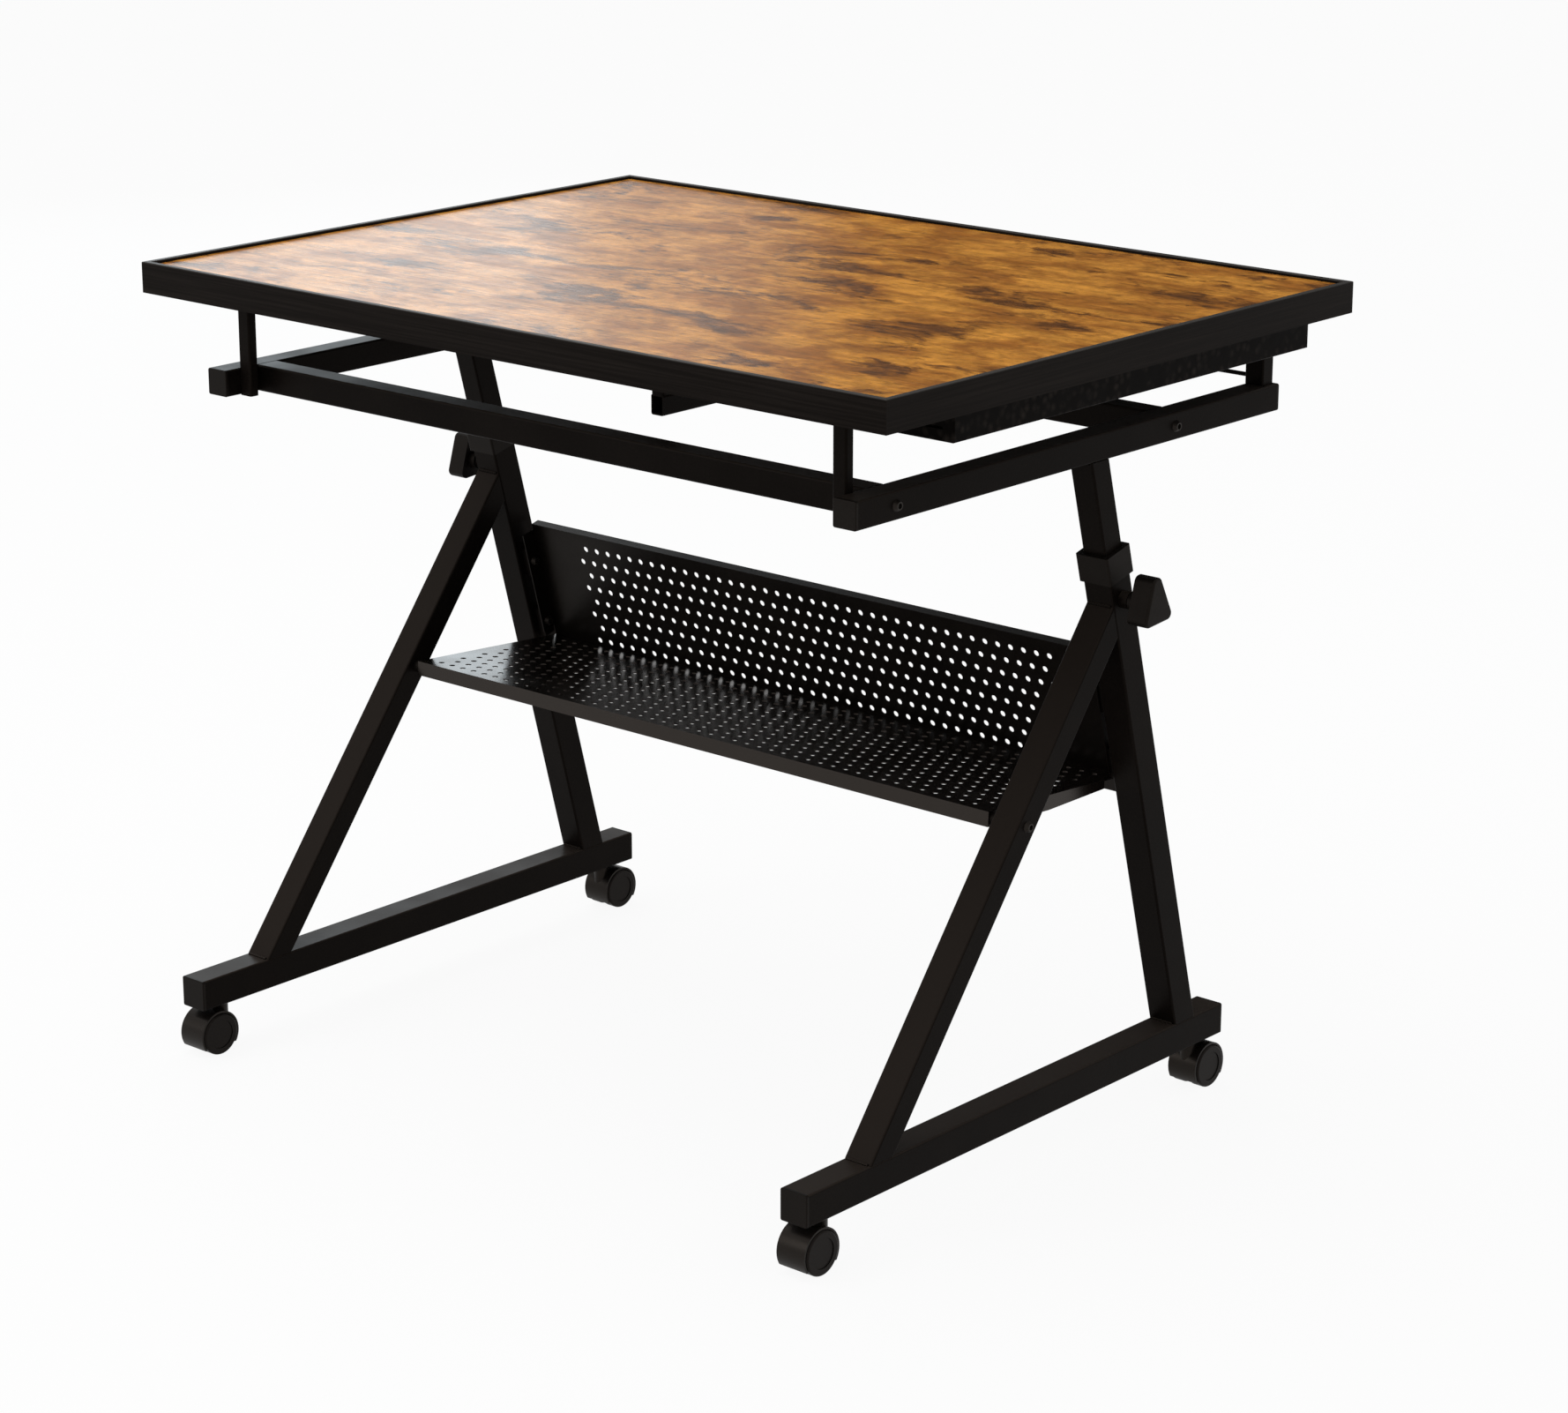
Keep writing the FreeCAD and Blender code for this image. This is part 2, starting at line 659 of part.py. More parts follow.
def front_post_screw_points():
    """The right front post's screws, in the part of its plate in front of the post."""
    return plate_screw_points(side_tube_inner_x - front_post_width - post_plate_side_margin,
                              side_tube_inner_x + post_plate_side_margin,
                              front_post_y - (post_plate_depth - front_post_depth) / 2)


def rear_post_screw_points():
    """The right rear post's screws, in the part of its plate behind the post."""
    free_depth = post_plate_depth - rear_post_depth
    return plate_screw_points(side_tube_inner_x - post_plate_side_margin,
                              side_tube_inner_x + rear_post_width + post_plate_side_margin,
                              rear_post_y + rear_post_depth + free_depth / 2)


def runner_screw_points():
    """The runners' screws, on the underside of their top flanges."""
    z = board_bottom_z - runner_thickness
    first_x = -runner_end_x + runner_screw_end_margin
    step = -2 * first_x / (runner_screw_columns - 1)
    rows = (drawer_front_y + runner_flange / 2, drawer_rear_y - runner_flange / 2)
    return [vec(first_x + column * step, y, z) for y in rows for column in range(runner_screw_columns)]


def post_with_plate(width, depth, x0, y0, bottom_z, plate_y0, screw_points):
    """A rectangular post with a plate welded to its top, screwed to the underside of the board."""
    plate_bottom_z = board_bottom_z - post_plate_thickness
    tube = upright_tube(width, depth, post_wall, bottom_z, plate_bottom_z)
    tube.translate(vec(x0 + width / 2, y0 + depth / 2, 0))
    plate = block(x0 - post_plate_side_margin, x0 + width + post_plate_side_margin,
                  plate_y0, plate_y0 + post_plate_depth, plate_bottom_z, board_bottom_z)
    for point in screw_points:
        low = point.sub(vec(0, 0, overrun))
        high = point.add(vec(0, 0, post_plate_thickness + overrun))
        plate = plate.cut(bolt_hole(low, high, wood_screw_radius + bolt_clearance))
    return joined(tube, plate)


def make_front_post():
    """The right front post, welded to the inner face of the side tube."""
    return post_with_plate(front_post_width, front_post_depth, side_tube_inner_x - front_post_width,
                           front_post_y, frame_bottom_z,
                           front_post_y + front_post_depth - post_plate_depth, front_post_screw_points())


def make_rear_post():
    """The right rear post, welded to the top of the side tube."""
    return post_with_plate(rear_post_width, rear_post_depth, side_tube_inner_x, rear_post_y,
                           frame_top_z, rear_post_y, rear_post_screw_points())


def make_tie_rod():
    """The thin rod between the rear posts."""
    y = rear_post_y + rear_post_depth / 2
    z = frame_top_z + tie_rod_rise
    return pin(tie_rod_radius, vec(-side_tube_inner_x, y, z), vec(side_tube_inner_x, y, z))


def make_centre_arm():
    """The arm that reaches forward from the rear cross tube."""
    half = centre_support_width / 2
    bore = half - post_wall
    rear_y = rear_cross_y - frame_tube_size / 2
    low_z = frame_top_z - centre_support_depth
    arm = rounded(block(-half, half, centre_support_y, rear_y, low_z, frame_top_z), AXIS_Y)
    hollow = block(-bore, bore, centre_support_y - overrun, rear_y + overrun,
                   low_z + post_wall, frame_top_z - post_wall)
    return arm.cut(hollow)


def make_centre_upright():
    """The upright on the arm's end, under the middle of the board."""
    upright = upright_tube(centre_support_width, centre_support_depth, post_wall,
                           frame_top_z, board_bottom_z)
    return upright.translated(vec(0, centre_support_y + centre_support_depth / 2, 0))


def make_board():
    """The board inside its edge rails, with pilot holes in its underside."""
    half_length = top_length / 2 - edge_rail_thickness
    board = block(-half_length, half_length, board_front_y + edge_rail_thickness,
                  board_rear_y - edge_rail_thickness, board_bottom_z, board_top_z)
    points = front_post_screw_points() + rear_post_screw_points()
    points = points + [vec(-point.x, point.y, point.z) for point in points] + runner_screw_points()
    for point in points:
        low = vec(point.x, point.y, board_bottom_z - overrun)
        high = vec(point.x, point.y, board_bottom_z + wood_screw_depth)
        board = board.cut(pin(wood_screw_radius + bolt_clearance, low, high))
    return board


def make_edge_rail(outer_start, outer_end, inner_end, inner_start):
    """A mitred edge rail from its four corners in plan."""
    outline = Part.makePolygon([outer_start, outer_end, inner_end, inner_start, outer_start])
    rail = Part.Face(outline).extrude(vec(0, 0, edge_rail_height))
    rims = [edge for edge in rail.Edges
            if edge.BoundBox.ZMin > top_height - rail_edge_radius and edge.Length > 2 * edge_rail_thickness]
    return rail.makeFillet(rail_edge_radius, rims)


def make_edge_rails():
    """The four mitred rails round the board."""
    x = top_length / 2
    inner_x = x - edge_rail_thickness
    inner_front = board_front_y + edge_rail_thickness
    inner_rear = board_rear_y - edge_rail_thickness
    z = rail_bottom_z
    outer = [vec(-x, board_front_y, z), vec(x, board_front_y, z),
             vec(x, board_rear_y, z), vec(-x, board_rear_y, z)]
    inner = [vec(-inner_x, inner_front, z), vec(inner_x, inner_front, z),
             vec(inner_x, inner_rear, z), vec(-inner_x, inner_rear, z)]
    names = ("front", "right", "rear", "left")
    rails = {}
    for index, name in enumerate(names):
        following = (index + 1) % len(names)
        rails[name] = make_edge_rail(outer[index], outer[following], inner[following], inner[index])
    return rails


def make_runner(side_y, inward):
    """A drawer runner: a top flange under the board, a web, and a tongue in the drawers' grooves."""
    web_face = side_y - inward * runner_gap
    web_back = web_face - inward * runner_thickness
    flange_end = web_back + inward * runner_flange
    tongue_end = side_y + inward * runner_tongue
    top_z = board_bottom_z - runner_thickness

    def strip(y_a, y_b, z0, z1):
        return block(-runner_end_x, runner_end_x, min(y_a, y_b), max(y_a, y_b), z0, z1)

    runner = joined(strip(web_back, web_face, tongue_bottom_z, board_bottom_z),
                    strip(web_face, flange_end, top_z, board_bottom_z),
                    strip(web_face, tongue_end, tongue_bottom_z, tongue_top_z))
    for point in runner_screw_points():
        low = point.sub(vec(0, 0, overrun))
        high = point.add(vec(0, 0, runner_thickness + overrun))
        runner = runner.cut(bolt_hole(low, high, wood_screw_radius + bolt_clearance))
    return runner


def wood_screw(point, through):
    """A screw up into the board through a plate or flange, from the point under it."""
    head = Part.makeCylinder(wood_screw_head_radius, wood_screw_head_height, point, AXIS_Z.negative())
    shank = Part.makeCylinder(wood_screw_radius, through + wood_screw_depth - bolt_clearance, point, AXIS_Z)
    return joined(head, shank)


def make_board_screws():
    """All screws into the underside of the board."""
    post_points = front_post_screw_points() + rear_post_screw_points()
    post_screws = [wood_screw(point, post_plate_thickness) for point in post_points]
    runner_screws = [wood_screw(point, runner_thickness) for point in runner_screw_points()]
    return group(both_sides(group(*post_screws)), *runner_screws)


def make_drawer_front():
    """The right drawer's front panel."""
    panel = block(drawer_outer_x - drawer_wall, drawer_outer_x, drawer_front_y, drawer_rear_y,
                  drawer_bottom_z, drawer_top_z)
    rims = [edge for edge in panel.Edges if edge.BoundBox.XMin > drawer_outer_x - drawer_wall / 2]
    return panel.makeFillet(panel_edge_radius, rims)


def make_drawer_walls():
    """The right drawer's two grooved sides and its back."""
    end_x = drawer_outer_x - drawer_wall
    low_z = drawer_bottom_z + drawer_bottom_thickness
    depth = runner_tongue + runner_gap
    sides = []
    for face_y, inward in ((drawer_front_y, 1), (drawer_rear_y, -1)):
        inner_y = face_y + inward * drawer_wall
        groove_y = face_y + inward * depth
        open_y = face_y - inward * overrun
        side = block(drawer_inner_x, end_x, min(face_y, inner_y), max(face_y, inner_y), low_z, drawer_top_z)
        groove = block(drawer_inner_x - overrun, end_x, min(open_y, groove_y), max(open_y, groove_y),
                       tongue_bottom_z - runner_gap, tongue_top_z + runner_gap)
        sides.append(side.cut(groove))
    back = block(drawer_inner_x, drawer_inner_x + drawer_wall, drawer_front_y + drawer_wall,
                 drawer_rear_y - drawer_wall, low_z, drawer_top_z)
    return group(*sides, back)


def make_drawer_bottom():
    """The right drawer's bottom panel."""
    return block(drawer_inner_x, drawer_outer_x - drawer_wall, drawer_front_y, drawer_rear_y,
                 drawer_bottom_z, drawer_bottom_z + drawer_bottom_thickness)


def make_knob():
    """The right wing knob: a tapered wing on a round hub."""
    axis = knob_axis_point()
    hub_x = foot_centre_x + rear_leg_size / 2 + clamp_nut_length + clamp_nut_gap
    wing_x = hub_x + knob_hub_length
    low_z = axis.z - knob_foot_drop
    high_z = low_z + knob_height
    outline = Part.makePolygon([
        vec(wing_x, axis.y - knob_foot_width / 2, low_z),
        vec(wing_x, axis.y + knob_foot_width / 2, low_z),
        vec(wing_x, axis.y + knob_head_width / 2, high_z),
        vec(wing_x, axis.y - knob_head_width / 2, high_z),
        vec(wing_x, axis.y - knob_foot_width / 2, low_z),
    ])
    wing = Part.Face(outline).extrude(vec(knob_thickness, 0, 0))
    corners = [edge for edge in wing.Edges if edge.BoundBox.XLength > knob_thickness / 2]
    wing = wing.makeFillet(knob_corner_radius, corners)
    outer_x = wing_x + knob_thickness
    rim = [edge for edge in wing.Edges if edge.BoundBox.XMin > outer_x - knob_edge_radius]
    wing = wing.makeFillet(knob_edge_radius, rim)
    wing = wing.rotated(axis, AXIS_X, knob_turn_deg)
    hub = pin(knob_hub_radius, vec(hub_x, axis.y, axis.z), vec(wing_x, axis.y, axis.z))
    bore_end = vec(wing_x + stud_anchor_length, axis.y, axis.z)
    return joined(wing, hub).cut(pin(stud_radius, vec(hub_x - overrun, axis.y, axis.z), bore_end))


def make_knob_stud():
    """The right knob's stud, which presses on the inner leg."""
    axis = knob_axis_point()
    tip_x = foot_centre_x + inner_leg_size / 2 + stud_tip_gap
    end_x = (foot_centre_x + rear_leg_size / 2 + clamp_nut_length + clamp_nut_gap
             + knob_hub_length + stud_anchor_length)
    return pin(stud_radius, vec(tip_x, axis.y, axis.z), vec(end_x, axis.y, axis.z))


def make_castor_hood():
    """A castor's hood at the origin: a drum over both wheels, a web between them and a stem boss."""
    axle = vec(0, -castor_trail, wheel_radius)
    half = hood_width / 2
    drum = pin(hood_radius, axle.sub(vec(half, 0, 0)), axle.add(vec(half, 0, 0)))
    boss = pin(stem_boss_radius, vec(0, 0, wheel_radius), vec(0, 0, castor_height - castor_swivel_gap))
    hood = joined(drum, boss)
    for side in (-1, 1):
        start = axle.add(vec(side * hood_web / 2, 0, 0))
        pocket = pin(wheel_radius + hood_wheel_clearance, start, start.add(vec(side * hood_width, 0, 0)))
        hood = hood.cut(pocket)
    hood = hood.cut(block(-reach, reach, -reach, reach, -reach, hood_skirt_height))
    boss_top = castor_height - castor_swivel_gap
    stem_foot = vec(0, 0, boss_top - stem_anchor_length)
    hood = hood.cut(pin(stem_radius, stem_foot, vec(0, 0, boss_top + overrun)))
    return hood.cut(pin(axle_radius, axle.sub(vec(hood_width, 0, 0)), axle.add(vec(hood_width, 0, 0))))


def make_castor_pins():
    """A castor's stem and axle at the origin."""
    stem_foot = vec(0, 0, castor_height - castor_swivel_gap - stem_anchor_length)
    stem = pin(stem_radius, stem_foot, vec(0, 0, castor_height + stem_grip_length))
    half = hood_web / 2 + wheel_width - axle_end_cover
    axle = vec(0, -castor_trail, wheel_radius)
    return group(stem, pin(axle_radius, axle.sub(vec(half, 0, 0)), axle.add(vec(half, 0, 0))))


def make_castor_wheels():
    """A castor's two wheels at the origin, each with a rounded tread, a dished face and a blind bore."""
    inner = hood_web / 2 + wheel_side_clearance
    outer = inner + wheel_width
    axle = vec(0, -castor_trail, wheel_radius)
    wheel = pin(wheel_radius, axle.add(vec(inner, 0, 0)), axle.add(vec(outer, 0, 0)))
    rims = [edge for edge in wheel.Edges if edge.Curve.TypeId == "Part::GeomCircle"]
    wheel = wheel.makeFillet(wheel_edge_radius, rims)
    dish = pin(wheel_dish_radius, axle.add(vec(outer - wheel_dish_depth, 0, 0)),
               axle.add(vec(outer + overrun, 0, 0)))
    bore = pin(axle_radius + axle_running_clearance, axle.add(vec(inner - overrun, 0, 0)),
               axle.add(vec(outer - axle_end_cover, 0, 0)))
    return both_sides(wheel.cut(dish).cut(bore))


def make_nodes():
    """Every node of the table by name."""
    nodes = {
        "foot_end_caps": make_foot_caps(),
        "shelf_back_panel": make_shelf_panel(),
        "shelf_floor": make_shelf_floor(),
        "shelf_spacers": make_shelf_spacers(),
        "shelf_bolts": make_shelf_bolts(),
        "castor_sockets": make_castor_sockets(),
        "inner_leg_glides": make_inner_leg_glides(),
        "side_tube_caps": make_side_tube_caps(),
        "front_cross_tube": make_cross_tube(front_cross_y),
        "rear_cross_tube": make_cross_tube(rear_cross_y),
        "frame_bolts": make_frame_bolts(),
        "tie_rod": make_tie_rod(),
        "centre_arm": make_centre_arm(),
        "centre_upright": make_centre_upright(),
        "board": make_board(),
        "drawer_runner_front": make_runner(drawer_front_y, 1),
        "drawer_runner_rear": make_runner(drawer_rear_y, -1),
        "board_screws": make_board_screws(),
    }
    for side, rail in make_edge_rails().items():
        nodes["edge_rail_" + side] = rail
    right_hand_pieces = {
        "foot": make_foot(),
        "front_leg": make_front_leg(),
        "rear_leg": make_rear_leg(),
        "collar": make_collar(),
        "inner_leg": make_inner_leg(),
        "side_tube": make_side_tube(),
        "front_post": make_front_post(),
        "rear_post": make_rear_post(),
        "knob": make_knob(),
        "knob_stud": make_knob_stud(),
        "drawer_front": make_drawer_front(),
        "drawer_walls": make_drawer_walls(),
        "drawer_bottom": make_drawer_bottom(),
    }
    for name, shape in right_hand_pieces.items():
        nodes[name + "_right"] = shape
        nodes[name + "_left"] = mirrored(shape)
    castor_pieces = {
        "castor_hood": make_castor_hood(),
        "castor_pins": make_castor_pins(),
        "castor_wheels": make_castor_wheels(),
    }
    for corner, (x, y, turn_deg) in castor_places.items():
        for name, shape in castor_pieces.items():
            nodes[name + "_" + corner] = shape.rotated(vec(), AXIS_Z, turn_deg).translated(vec(x, y))
    return nodes


def main():
    os.makedirs("parts", exist_ok=True)
    for name, shape in make_nodes().items():
        shape.exportStep(os.path.join("parts", name + ".step"))


main()
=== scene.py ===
import json
import math

import bpy
from bpy.props import FloatProperty, FloatVectorProperty, IntProperty, PointerProperty
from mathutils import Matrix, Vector


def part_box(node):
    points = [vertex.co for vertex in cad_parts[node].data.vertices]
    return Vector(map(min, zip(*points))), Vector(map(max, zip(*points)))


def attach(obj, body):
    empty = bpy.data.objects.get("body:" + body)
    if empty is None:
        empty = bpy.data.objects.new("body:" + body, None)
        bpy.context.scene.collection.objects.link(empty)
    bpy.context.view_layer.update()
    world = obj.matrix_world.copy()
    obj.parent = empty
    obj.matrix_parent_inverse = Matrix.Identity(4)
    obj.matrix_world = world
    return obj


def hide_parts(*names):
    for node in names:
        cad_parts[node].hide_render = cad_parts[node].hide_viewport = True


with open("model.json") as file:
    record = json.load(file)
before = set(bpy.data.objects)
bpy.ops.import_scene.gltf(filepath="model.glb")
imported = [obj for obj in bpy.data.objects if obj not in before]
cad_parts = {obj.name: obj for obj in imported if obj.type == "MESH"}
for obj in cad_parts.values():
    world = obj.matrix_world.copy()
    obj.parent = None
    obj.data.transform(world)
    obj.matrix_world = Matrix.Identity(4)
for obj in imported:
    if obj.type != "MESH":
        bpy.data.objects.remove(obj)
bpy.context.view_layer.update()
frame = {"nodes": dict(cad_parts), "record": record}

# Looks of a jigsaw puzzle table: the finishes of its CAD pieces, its fasteners, its weld seams
# and a pale studio. Metres, in the table's own frame: X across the table, +Y to its back, +Z up,
# and the floor is Z = 0.

bl_info = {
    "name": "Puzzle Table Looks",
    "version": (1, 0, 0),
    "blender": (4, 5, 0),
    "location": "View3D > Sidebar > Puzzle Table",
    "description": "Finishes, fasteners, weld seams and studio for a height-adjustable puzzle table",
    "category": "Object",
}


# Settings of the finishes and sizes

def colour(name, description, default):
    """A linear colour setting."""
    return FloatVectorProperty(name=name, description=description, default=default, size=3, min=0.0, max=1.0,
                               subtype="COLOR")


def share(name, description, default):
    """A setting between nought and one."""
    return FloatProperty(name=name, description=description, default=default, min=0.0, max=1.0,
                         subtype="FACTOR")


def length(name, description, default):
    """A length setting in metres."""
    return FloatProperty(name=name, description=description, default=default, min=0.0, unit="LENGTH")


def mirror(name, default):
    """A setting of how strongly a surface mirrors its surroundings."""
    return share(name, "How strongly the surface mirrors its surroundings", default)


def power(name, description, default):
    """A light's power in watts."""
    return FloatProperty(name=name, description=description, default=default, min=0.0, unit="POWER")


def angle(name, description, degrees):
    """An angle setting, given in degrees."""
    return FloatProperty(name=name, description=description, default=math.radians(degrees), subtype="ANGLE")


class WoodSettings(bpy.types.PropertyGroup):
    """The rustic wood-effect laminate on the board."""
    honey: colour("Honey", "Pale ground of the wood", (0.6, 0.258, 0.04))
    amber: colour("Amber", "Middle tone of the wood", (0.32, 0.116, 0.0165))
    umber: colour("Umber", "Dark blotches along the grain", (0.125, 0.046, 0.0115))
    knot: colour("Knot", "Small knots and dark streaks", (0.045, 0.02, 0.008))
    underside: colour("Underside", "Balancing paper under the board", (0.03, 0.024, 0.02))
    blotch_length: length("Blotch Length", "Usual length of a blotch along the grain", 0.075)
    blotch_width: length("Blotch Width", "Usual width of a blotch across the grain", 0.05)
    smear_length: length("Smear Length", "Usual length of a dark smear along the grain", 0.115)
    smear_width: length("Smear Width", "Usual width of a dark smear across the grain", 0.06)
    grain_width: length("Grain Width", "Width of one fine grain line", 0.0022)
    roughness: share("Roughness", "Roughness of the satin surface", 0.28)
    shine: mirror("Shine", 0.13)


class CoatSettings(bpy.types.PropertyGroup):
    """The powder coat on the steel tubes and sheets."""
    base: colour("Base", "Black-brown of the coat", (0.0038, 0.0028, 0.0023))
    worn: colour("Worn", "Slightly lighter, handled patches", (0.0066, 0.005, 0.0041))
    # Painted top light: the lighter grey that upward faces of the tubes take, standing in for light falling
    # from above
    painted_top_light: colour("Painted Top Light", "Thin grey film on the faces that look upward", (0.027, 0.0212, 0.0176))
    peel_size: length("Peel Size", "Width of one dimple of the coat's orange peel", 0.0016)
    roughness: share("Roughness", "Roughness of the coat", 0.36)
    sheet_roughness: share("Sheet Roughness", "Roughness of the coat on the shelf's floor", 0.2)
    tube_shine: mirror("Tube Shine", 0.032)
    panel_shine: mirror("Panel Shine", 0.1)
    sheet_shine: mirror("Sheet Shine", 0.32)


class LaminateSettings(bpy.types.PropertyGroup):
    """The black laminate on the edge rails and drawers."""
    rail: colour("Rail", "Ground of the edge rails", (0.0042, 0.0031, 0.0026))
    rail_streak: colour("Rail Streak", "Grain lines on the edge rails", (0.0115, 0.009, 0.0078))
    # Painted highlight: the light grey along the rails' upper edge stands in for the glint on that edge
    rail_edge_highlight: colour("Rail Highlight", "Rubbed upper edge of the rails", (0.042, 0.039, 0.037))
    drawer: colour("Drawer", "Ground of the drawers", (0.0014, 0.0011, 0.001))
    fleck: colour("Fleck", "Flecks on the drawers", (0.0165, 0.0132, 0.0114))
    fleck_size: length("Fleck Size", "Width of one fleck", 0.0075)
    roughness: share("Roughness", "Roughness of the laminate", 0.4)
    rail_shine: mirror("Rail Shine", 0.04)
    drawer_shine: mirror("Drawer Shine", 0.025)


class PlasticSettings(bpy.types.PropertyGroup):
    """The moulded plastic of caps, collars, knobs and castors."""
    base: colour("Base", "Black of the mouldings", (0.0044, 0.0035, 0.003))
    scuffed: colour("Scuffed", "Scuffed patches", (0.0085, 0.007, 0.006))
    tread: colour("Tread", "Nylon of the wheels", (0.0068, 0.0058, 0.0054))
    texture_size: length("Texture Size", "Width of one grain of the mould's texture", 0.0009)
    wheel_texture_size: length("Wheel Texture Size", "Width of one grain of the wheels' texture", 0.00135)
    roughness: share("Roughness", "Roughness of the matt mouldings", 0.46)
    wheel_roughness: share("Wheel Roughness", "Roughness of the wheels", 0.368)
    hood_roughness: share("Hood Roughness", "Roughness of the castor hoods", 0.3)
    shine: mirror("Shine", 0.08)
    hood_shine: mirror("Hood Shine", 0.16)
    wheel_shine: mirror("Wheel Shine", 0.08)


class MetalSettings(bpy.types.PropertyGroup):
    """The bare and blackened metal of the hardware."""
    zinc: colour("Zinc", "Zinc-plated steel", (0.56, 0.56, 0.55))
    zinc_dull: colour("Dull Zinc", "Dulled patches of the plating", (0.36, 0.36, 0.35))
    runner: colour("Runner", "Rolled steel of the drawer runners", (0.17, 0.168, 0.165))
    runner_dull: colour("Dull Runner", "Dulled patches of the runners", (0.1, 0.098, 0.096))
    black: colour("Black Oxide", "Blackened bolt heads", (0.0075, 0.0062, 0.0055))
    black_rubbed: colour("Rubbed Black", "Rubbed spots on the bolt heads", (0.0125, 0.0105, 0.0093))
    zinc_roughness: share("Zinc Roughness", "Roughness of the plating", 0.3)
    runner_roughness: share("Runner Roughness", "Roughness of the runners", 0.5)
    black_roughness: share("Black Roughness", "Roughness of the bolt heads", 0.38)
    shine: mirror("Shine", 0.5)
    black_shine: mirror("Black Shine", 0.2)
    plate_grain: length("Plate Grain", "Width of one grain of the plating", 0.0012)
    black_grain: length("Black Grain", "Width of one grain of the blackened heads", 0.0008)


class FastenerSettings(bpy.types.PropertyGroup):
    """The visible shape of bolts, screws and nuts."""
    head_sides: IntProperty(name="Head Sides", description="Sides of a round head", default=20, min=6)
    nut_sides: IntProperty(name="Nut Sides", description="Sides of a nut", default=6, min=4)
    crown_share: share("Crown", "Width of a head's crown as a share of the head", 0.66)
    socket_share: share("Socket", "Width of the drive socket as a share of the head", 0.48)
    socket_depth_share: share("Socket Depth", "Depth of the drive socket as a share of the head's height", 0.6)


class WeldSettings(bpy.types.PropertyGroup):
    """The painted weld seams where tubes meet."""
    bead_radius: length("Bead Radius", "Half the width of a weld seam", 0.0016)
    ripple_pitch: length("Ripple Pitch", "Distance between two ripples of a seam", 0.0026)
    ripple_share: share("Ripple", "Height of a ripple as a share of the bead", 0.16)
    end_gap: length("End Gap", "How far a seam stops short of a tube's side", 0.003)


class StudioSettings(bpy.types.PropertyGroup):
    """The pale floor, the soft lights and the camera."""
    floor: colour("Floor", "Colour of the floor", (0.9, 0.9, 0.9))
    backdrop_share: share("Backdrop", "How much of the floor shows as plain white to the camera", 0.92)
    horizon: FloatProperty(name="Horizon", description="Strength of the surround as the camera sees it",
                           default=0.965)
    surround: FloatProperty(name="Surround", description="Strength of the light from all round", default=0.62)
    top_light: power("Top Light", "Power of the soft light above", 34.0)
    side_light: power("Side Light", "Power of the soft light at the front left", 16.0)
    back_light: power("Back Light", "Power of the soft light far behind at the left", 17.0)
    back_tint: colour("Back Tint", "Cool daylight tint of the light behind", (0.78, 0.92, 1.0))
    lens: FloatProperty(name="Lens", description="Focal length of the camera in millimetres", default=92.17)
    distance: length("Distance", "From the camera to the point it looks at", 3.8)
    azimuth: angle("Azimuth", "Turn of the camera round the table", 41.213)
    elevation: angle("Elevation", "Height angle of the camera", 16.823)
    target: FloatVectorProperty(name="Target", description="Point that the camera looks at",
                                default=(0.031, 0.045, 0.346), subtype="TRANSLATION", unit="LENGTH")


class PuzzleTableSettings(bpy.types.PropertyGroup):
    """All settings of the puzzle table's looks."""
    wood: PointerProperty(type=WoodSettings)
    coat: PointerProperty(type=CoatSettings)
    laminate: PointerProperty(type=LaminateSettings)
    plastic: PointerProperty(type=PlasticSettings)
    metal: PointerProperty(type=MetalSettings)
    fastener: PointerProperty(type=FastenerSettings)
    weld: PointerProperty(type=WeldSettings)
    studio: PointerProperty(type=StudioSettings)


# Short calls for node trees

def add_node(tree, kind, inputs=None, **settings):
    """Adds a node, sets its options, and sets or links its inputs by name or number."""
    node = tree.nodes.new(kind)
    for name, value in settings.items():
        setattr(node, name, value)
    for key, value in (inputs or {}).items():
        if isinstance(value, bpy.types.NodeSocket):
            tree.links.new(value, node.inputs[key])
        else:
            node.inputs[key].default_value = value
    return node


def rgba(value):
    """A colour setting as a socket's four numbers."""
    return (value[0], value[1], value[2], 1.0)


def mix_colours(tree, factor, first, second, blend="MIX"):
    """A mix of two colours."""
    node = add_node(tree, "ShaderNodeMix", {0: factor, 6: first, 7: second}, data_type="RGBA",
                    blend_type=blend)
    return node.outputs[2]


def ranged(tree, value, low, high, to_low=0.0, to_high=1.0):
    """A value moved from one range to another and clamped."""
    return add_node(tree, "ShaderNodeMapRange", {0: value, 1: low, 2: high, 3: to_low, 4: to_high}).outputs[0]


def maths(tree, operation, first, second=0.0):
    """One step of arithmetic."""
    return add_node(tree, "ShaderNodeMath", {0: first, 1: second}, operation=operation).outputs[0]


def height_of(tree, vector):
    """The Z part of a vector."""
    return add_node(tree, "ShaderNodeSeparateXYZ", {0: vector}).outputs["Z"]


def stretched(tree, vector, scale):
    """Coordinates with another scale along each axis."""
    return add_node(tree, "ShaderNodeMapping", {"Vector": vector, "Scale": scale}).outputs[0]


def noise(tree, vector, scale, detail=2.0, roughness=0.5, distortion=0.0):
    """Soft noise between nought and one."""
    inputs = {"Vector": vector, "Scale": scale, "Detail": detail, "Roughness": roughness,
              "Distortion": distortion}
    return add_node(tree, "ShaderNodeTexNoise", inputs).outputs["Fac"]


def open_group(name, inputs, outputs, kind="ShaderNodeTree"):
    """A new node group and its two ends."""
    tree = bpy.data.node_groups.new(name, kind)
    for in_out, sockets in (("INPUT", inputs), ("OUTPUT", outputs)):
        for socket_name, socket_type in sockets:
            tree.interface.new_socket(name=socket_name, in_out=in_out, socket_type=socket_type)
    return tree, tree.nodes.new("NodeGroupInput").outputs, tree.nodes.new("NodeGroupOutput").inputs


def close_group(tree, ends, values):
    """Links a group's results to its outputs."""
    for name, socket in values.items():
        tree.links.new(socket, ends[name])
    return tree


# Shared surface effects

